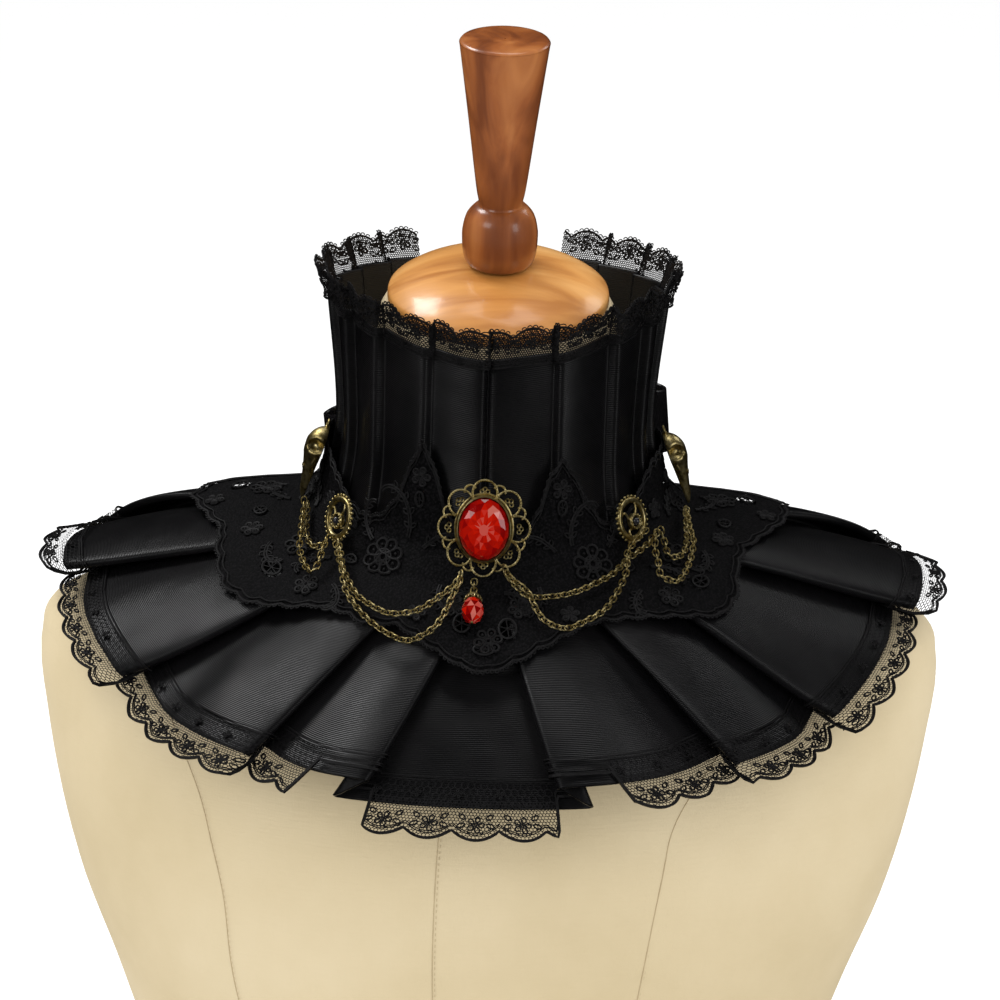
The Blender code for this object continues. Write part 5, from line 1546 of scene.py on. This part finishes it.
BOW_CENTRE = (0.0, 0.0889, 0.0140)
BOW_ROLL = 6.0
RIBBON = 0.0011
LOOP = (
    (0.0090, -0.0030, 0.0080), (0.0200, -0.0072, 0.0105), (0.0400, -0.0105, 0.0140), (0.0640, -0.0085, 0.0155),
    (0.0800, -0.0020, 0.0160), (0.0870, 0.0095, 0.0160), (0.0800, 0.0190, 0.0160), (0.0640, 0.0190, 0.0155),
    (0.0400, 0.0135, 0.0140), (0.0200, 0.0075, 0.0105), (0.0090, 0.0030, 0.0080),
)
KNOT = (0.0088, 0.0078, 0.0120)
TAIL = (
    (0.0017, 0.0045, 0.0893, 0.0080), (-0.026, 0.012, 0.0945, 0.0150), (-0.058, 0.019, 0.1085, 0.0175),
    (-0.094, 0.025, 0.1165, 0.0180), (-0.130, 0.030, 0.1190, 0.0180), (-0.160, 0.034, 0.1180, 0.0180),
)
LOOP_DROOP = 0.008
BAND = (0.0805, 0.005, 0.027)


def rolled(points):
    t = math.radians(BOW_ROLL)
    points = np.asarray(points, float)
    x = points[..., 0] * math.cos(t) - points[..., 2] * math.sin(t)
    z = points[..., 0] * math.sin(t) + points[..., 2] * math.cos(t)
    moved = np.stack([x, points[..., 1], z], axis=-1)
    return moved + (BOW_CENTRE[0], BOW_CENTRE[1], NECK_Z + BOW_CENTRE[2])


def build_loop(name, sign):
    line = np.array(LOOP)
    way = np.roll(line, -1, axis=0)[:, :2] - np.roll(line, 1, axis=0)[:, :2]
    way = unit(way)
    middle = line.copy()
    middle[:, 0] -= way[:, 1] * RIBBON / 2
    middle[:, 1] += way[:, 0] * RIBBON / 2
    middle = curve_through(middle, 0.0035)
    rows = []
    for share in np.linspace(-1, 1, 9):
        gather = 0.0009 * math.cos(3.0 * share * math.pi)
        near = np.clip(1 - middle[:, 0] / 0.05, 0, 1) ** 1.5
        droop = LOOP_DROOP * (middle[:, 0] / 0.087) ** 3
        y = middle[:, 1] + gather * near
        rows.append(np.stack([sign * middle[:, 0], y, middle[:, 2] * share - droop], axis=1))
    obj = cloth_shell(name + "_satin", rolled(np.array(rows)), SATIN, RIBBON, 1)
    dress(obj, "satin_ribbon", name)


def build_tail(name, sign):
    keys = -np.array(column(TAIL, 0))
    fine = np.linspace(keys[0], keys[-1], 22)
    x, y, half = (smooth(fine, keys, column(TAIL, k)) for k in (1, 2, 3))
    rows = []
    for i, down in enumerate(fine):
        share = np.linspace(-1, 1, 11)
        order = np.interp(down, keys, np.arange(len(TAIL)))
        wave = 0.0016 * np.sin(2.2 * share + order * 1.3)
        cut = 0.012 * (share * 0.5 + 0.5) * np.clip((down - 0.13) / 0.03, 0, 1)
        x_row = sign * (x[i] + 0.004) + half[i] * share
        rows.append(np.stack([x_row, y[i] + wave + RIBBON / 2, NECK_Z - down + cut], axis=1))
    obj = cloth_shell(name + "_satin", rows, SATIN, RIBBON, 1)
    dress(obj, "satin_ribbon", name)


def build_knot():
    turn = 2 * math.pi * np.arange(40) / 40
    rings = []
    for share in np.linspace(-1, 1, 17):
        size = math.sqrt(max(0.10, 1 - abs(share) ** 2.4))
        fold = 1 + 0.05 * np.cos(7 * turn + 1.5 * share)
        x, y = KNOT[0] * size * fold * np.cos(turn), KNOT[1] * size * fold * np.sin(turn)
        rings.append(np.stack([x, y, KNOT[2] * share + 0 * turn], axis=1))
    rings = rolled(np.array(rings))
    shape = Shape()
    shape.grid(rings, close_across=True)
    for row in (0, -1):
        shape.cap(rings[row])
    dress(make("ribbon_knot_satin", shape, SATIN, 80), "satin_ribbon", "ribbon_knot")


def build_band():
    azimuths = np.linspace(144.0, 219.0, 40)
    rows = []
    for share in np.linspace(0, 1, 7):
        radius = BAND[0] - RIBBON / 2 + 0.0005 * math.sin(share * 9.0) + 0 * azimuths
        rows.append(place(radius, azimuths, BAND[1] + (BAND[2] - BAND[1]) * share))
    obj = cloth_shell("ribbon_band_satin", rows, SATIN, RIBBON, 1)
    dress(obj, "satin_ribbon", "ribbon_band")


# Dress form

TORSO = (
    (-0.450, 0.124, 0.092, 0.086, 2.15, 0.004, 0.0),
    (-0.390, 0.132, 0.100, 0.092, 2.15, 0.004, 0.0),
    (-0.320, 0.150, 0.114, 0.100, 2.15, 0.005, 0.0),
    (-0.265, 0.167, 0.124, 0.106, 2.15, 0.006, 0.0),
    (-0.220, 0.181, 0.130, 0.110, 2.15, 0.007, 0.0),
    (-0.180, 0.195, 0.132, 0.112, 2.15, 0.008, 0.0),
    (-0.140, 0.205, 0.128, 0.112, 2.10, 0.009, 0.0),
    (-0.105, 0.211, 0.119, 0.110, 2.00, 0.010, 0.0),
    (-0.080, 0.214, 0.109, 0.106, 1.90, 0.011, 0.0),
    (-0.065, 0.213, 0.102, 0.102, 1.80, 0.012, 0.0),
    (-0.0528, 0.205, 0.097, 0.097, 1.72, 0.012, 0.0),
    (-0.0448, 0.186, 0.092, 0.092, 1.68, 0.012, 0.0),
    (-0.0357, 0.158, 0.086, 0.087, 1.70, 0.011, 0.0),
    (-0.0267, 0.126, 0.080, 0.082, 1.78, 0.009, 0.0),
    (-0.0177, 0.097, 0.074, 0.077, 1.88, 0.007, 0.0),
    (-0.0087, 0.079, 0.0690, 0.0715, 1.95, 0.004, 0.0),
    (0.0000, 0.0695, 0.0650, 0.0665, 2.0, 0.002, 0.0),
    (0.012, 0.0630, 0.0615, 0.0620, 2.0, 0.000, 1.0),
    (0.034, 0.0585, 0.0590, 0.0580, 2.0, -0.001, 3.0),
    (0.062, 0.0560, 0.0585, 0.0530, 2.0, -0.003, 7.0),
    (0.086, 0.0540, 0.0590, 0.0480, 2.0, -0.006, 12.0),
    (0.0935, 0.0530, 0.0595, 0.0450, 2.0, -0.0075, 13.0),
    (0.0960, 0.0510, 0.0580, 0.0430, 2.0, -0.0080, 13.0),
)
CAP_CENTRE = (0.0, -0.0080, 0.0965)
CAP_TILT = 13.0
CAP = (
    (0.0482, 0.0), (0.0496, 0.0012), (0.0496, 0.0046), (0.0484, 0.0064), (0.0420, 0.0104), (0.0320, 0.0142),
    (0.0200, 0.0166), (0.0130, 0.0172),
)
FINIAL = (
    (0.0115, 0.0176), (0.0145, 0.0190), (0.0163, 0.0235), (0.0168, 0.0300), (0.0166, 0.0350), (0.0150, 0.0410),
    (0.0118, 0.0450), (0.0098, 0.0462), (0.0098, 0.0480), (0.0112, 0.0560), (0.0152, 0.0880), (0.0190, 0.1170),
    (0.0193, 0.1190), (0.0188, 0.1206), (0.0160, 0.1212),
)
# Panel seams of the form, each from its foot up: h, turn from the front in degrees
SEAMS = (
    ((-0.445, -30.0), (-0.20, -33.0), (-0.16, -32.5), (-0.12, -35.0), (-0.06, -46.0)),
    ((-0.445, -5.0), (-0.06, -5.0)),
    ((-0.445, 20.0), (-0.19, 19.5), (-0.12, 22.0), (-0.06, 36.0)),
    ((-0.445, -100.0), (-0.20, -104.0), (-0.145, -108.0)),
    ((-0.445, 100.0), (-0.20, 104.0), (-0.145, 108.0)),
    ((-0.445, 150.0), (-0.15, 148.0), (-0.06, 144.0)),
    ((-0.445, -150.0), (-0.15, -148.0), (-0.06, -144.0)),
    ((-0.445, 180.0), (-0.06, 180.0)),
)


def tilted(points, centre, degrees):
    """Points of a shape built upright at the origin, leaned forward and moved to its centre."""
    t = math.radians(degrees)
    points = np.asarray(points, float)
    y = points[..., 1] * math.cos(t) - points[..., 2] * math.sin(t)
    z = points[..., 1] * math.sin(t) + points[..., 2] * math.cos(t)
    return np.stack([points[..., 0] + centre[0], y + centre[1], z + centre[2]], axis=-1)


def torso_surface(h, angle, push=0.0):
    """A ring of the form at a height, its points at the given angles from +X."""
    keys = column(TORSO, 0)
    half, front, back, power, middle, tilt = (float(smooth(h, keys, column(TORSO, k))) for k in range(1, 7))
    c, s = np.cos(angle), np.sin(angle)
    x = (half + push) * np.sign(c) * np.abs(c) ** (2 / power)
    depth = np.where(s < 0, front + middle, back - middle) + push
    y = depth * np.sign(s) * np.abs(s) ** (2 / power)
    return tilted(np.stack([x, y, 0 * x], axis=-1), (0.0, middle, NECK_Z + h), tilt)


def build_form():
    upper, lower = np.linspace(-0.070, 0.000, 29), np.linspace(-0.450, -0.075, 40)
    heights = np.concatenate([lower, upper, np.linspace(0.004, 0.096, 24)])
    angle = 2 * math.pi * np.arange(144) / 144
    rings = [torso_surface(h, angle, -0.0003 if h > -0.075 else 0.0) for h in heights]
    shape = Shape()
    shape.grid(rings, close_across=True)
    for ring in (rings[0], rings[-1]):
        shape.cap(ring)
    dress(make("form_linen", shape, LINEN, 60), "cream_linen", "form_torso")


def seam_thread(shape, heights, turns):
    """A seam line on the form with a row of stitches beside it."""
    line = [torso_surface(h, np.radians(np.array([turn - 90.0])), 0.0)[0] for h, turn in zip(heights, turns)]
    line = curve_through(line, 0.0013)
    out = unit(np.gradient(line, axis=0))
    out = unit(np.cross(out, np.cross(line * (1, 1, 0), out)))
    shape.tube(line, 0.00022, 4, out=out)
    side = unit(np.cross(np.gradient(line, axis=0), line * (1, 1, 0))) * 0.0011
    starts, ends = line[0:-1:2] + side[0:-1:2], line[1::2] + side[1::2]
    count = min(len(starts), len(ends))
    away = unit(line[: 2 * count : 2] * (1, 1, 0)) * 0.00025
    shape.bands(starts[:count] + away, ends[:count] + away, away, 0.0003)


def form_seams():
    """Panel seams with their stitches, and the armhole seams at the sides."""
    shape = Shape()
    for seam in SEAMS:
        keys = np.array(seam)
        heights = np.linspace(keys[0, 0], keys[-1, 0], 60)
        seam_thread(shape, heights, smooth(heights, keys[:, 0], keys[:, 1]))
    for side in (-1, 1):
        turn = np.linspace(0, 2 * math.pi, 60)
        seam_thread(shape, -0.102 + 0.043 * np.sin(turn), side * (108 + 22 * np.cos(turn)))
    dress(make("form_seam_threads", shape, SEAM), "cream_linen")


def lathe(name, profile, around, made_of, slot_name, node):
    fine = curve_through(profile, 0.0009)
    turn = 2 * math.pi * np.arange(around) / around
    rings = []
    for radius, height in fine:
        rings.append(np.stack([radius * np.cos(turn), radius * np.sin(turn), height + 0 * turn], axis=1))
    rings.insert(0, rings[0] * (0.02, 0.02, 1.0))
    rings.append(rings[-1] * (0.02, 0.02, 1.0))
    moved = tilted(np.array(rings), (CAP_CENTRE[0], CAP_CENTRE[1], NECK_Z + CAP_CENTRE[2]), CAP_TILT)
    shape = Shape()
    shape.grid(moved, close_across=True)
    dress(make(name, shape, made_of, 35), slot_name, node)


# Stage


def plain(name, color, roughness):
    return principled(name, color, roughness, Specular_IOR_Level=0.1)[0]


def build_stage():
    mesh = bpy.data.meshes.new("floor")
    size = 40.0
    corners = [(-size, -size, 0), (size, -size, 0), (size, size, 0), (-size, size, 0)]
    mesh.from_pydata(corners, [], [(0, 1, 2, 3)])
    mesh.materials.append(plain("floor_white", (0.95, 0.95, 0.95), 0.9))
    floor = bpy.data.objects.new("floor", mesh)
    bpy.context.scene.collection.objects.link(floor)
    floor.visible_glossy = False


def area_light(name, place_at, look_at, size, power, color=(1.0, 1.0, 1.0)):
    light = bpy.data.lights.new(name, "AREA")
    light.shape = "RECTANGLE"
    light.size, light.size_y = size
    light.energy = power
    light.color = color
    obj = bpy.data.objects.new(name, light)
    start = np.array(place_at, float)
    back = unit(start - np.array(look_at, float))
    right = unit(np.cross((0.0, 0.0, 1.0), back))
    up = np.cross(back, right)
    turn = Matrix((tuple(right), tuple(up), tuple(back))).transposed().to_4x4()
    turn.translation = tuple(start)
    obj.matrix_world = turn
    bpy.context.scene.collection.objects.link(obj)


def build_lights():
    world = bpy.data.worlds.new("studio")
    world.use_nodes = True
    world.node_tree.nodes["Background"].inputs["Color"].default_value = (1.0, 1.0, 1.0, 1.0)
    world.node_tree.nodes["Background"].inputs["Strength"].default_value = 1.09
    world.cycles_visibility.glossy = False
    bpy.context.scene.world = world
    target = (0.0, 0.0, 0.42)
    area_light("left_back", (-1.0, 0.5, 2.1), target, (0.7, 0.5), 15.0)
    area_light("right_back", (1.25, 1.0, 1.75), target, (0.6, 0.5), 2.5)
    area_light("front_left", (-1.4, -1.5, 1.5), target, (0.9, 0.9), 8.0)
    area_light("front_right", (1.5, -1.3, 1.1), target, (0.6, 1.2), 6.0)
    area_light("top", (0.1, 0.1, 2.2), target, (1.0, 0.6), 6.0)


build_stand()
ruffle = build_ruffle()
hem_edging = Edging(hem_strip(), HEM_SCALLOP, HEM_LACE_BELOW, HEM_OVERLAP, False, hidden_spans())
hem = build_lace("hem_lace_net", "hem_lace", hem_edging, HEM_NETS, HEM_THREAD)
neck_edging = Edging(neck_strip(), NECK_SCALLOP, NECK_LACE_ABOVE, NECK_OVERLAP, True, ())
build_lace("neck_lace_net", "neck_lace", neck_edging, NECK_NETS, NECK_THREAD)
applique_cover = Cover()
applique_ground(applique_cover)
applique_cords(applique_cover)
build_setting()
build_gem()
build_drop()
for gear_name, gear_place in GEARS.items():
    build_gear(gear_name, *gear_place)
for skull_name, skull_place in SKULLS.items():
    build_skull(skull_name, *skull_place)
build_loop("ribbon_loop_right", 1.0)
build_loop("ribbon_loop_left", -1.0)
build_tail("ribbon_tail_right", 1.0)
build_tail("ribbon_tail_left", -1.0)
build_knot()
build_band()
build_form()
form_seams()
lathe("cap_wood_turned", CAP, 96, CAP_WOOD, "cap_wood", "neck_cap")
lathe("finial_wood_turned", FINIAL, 64, FINIAL_WOOD, "finial_wood", "finial")
build_stage()
build_lights()
bpy.context.view_layer.update()
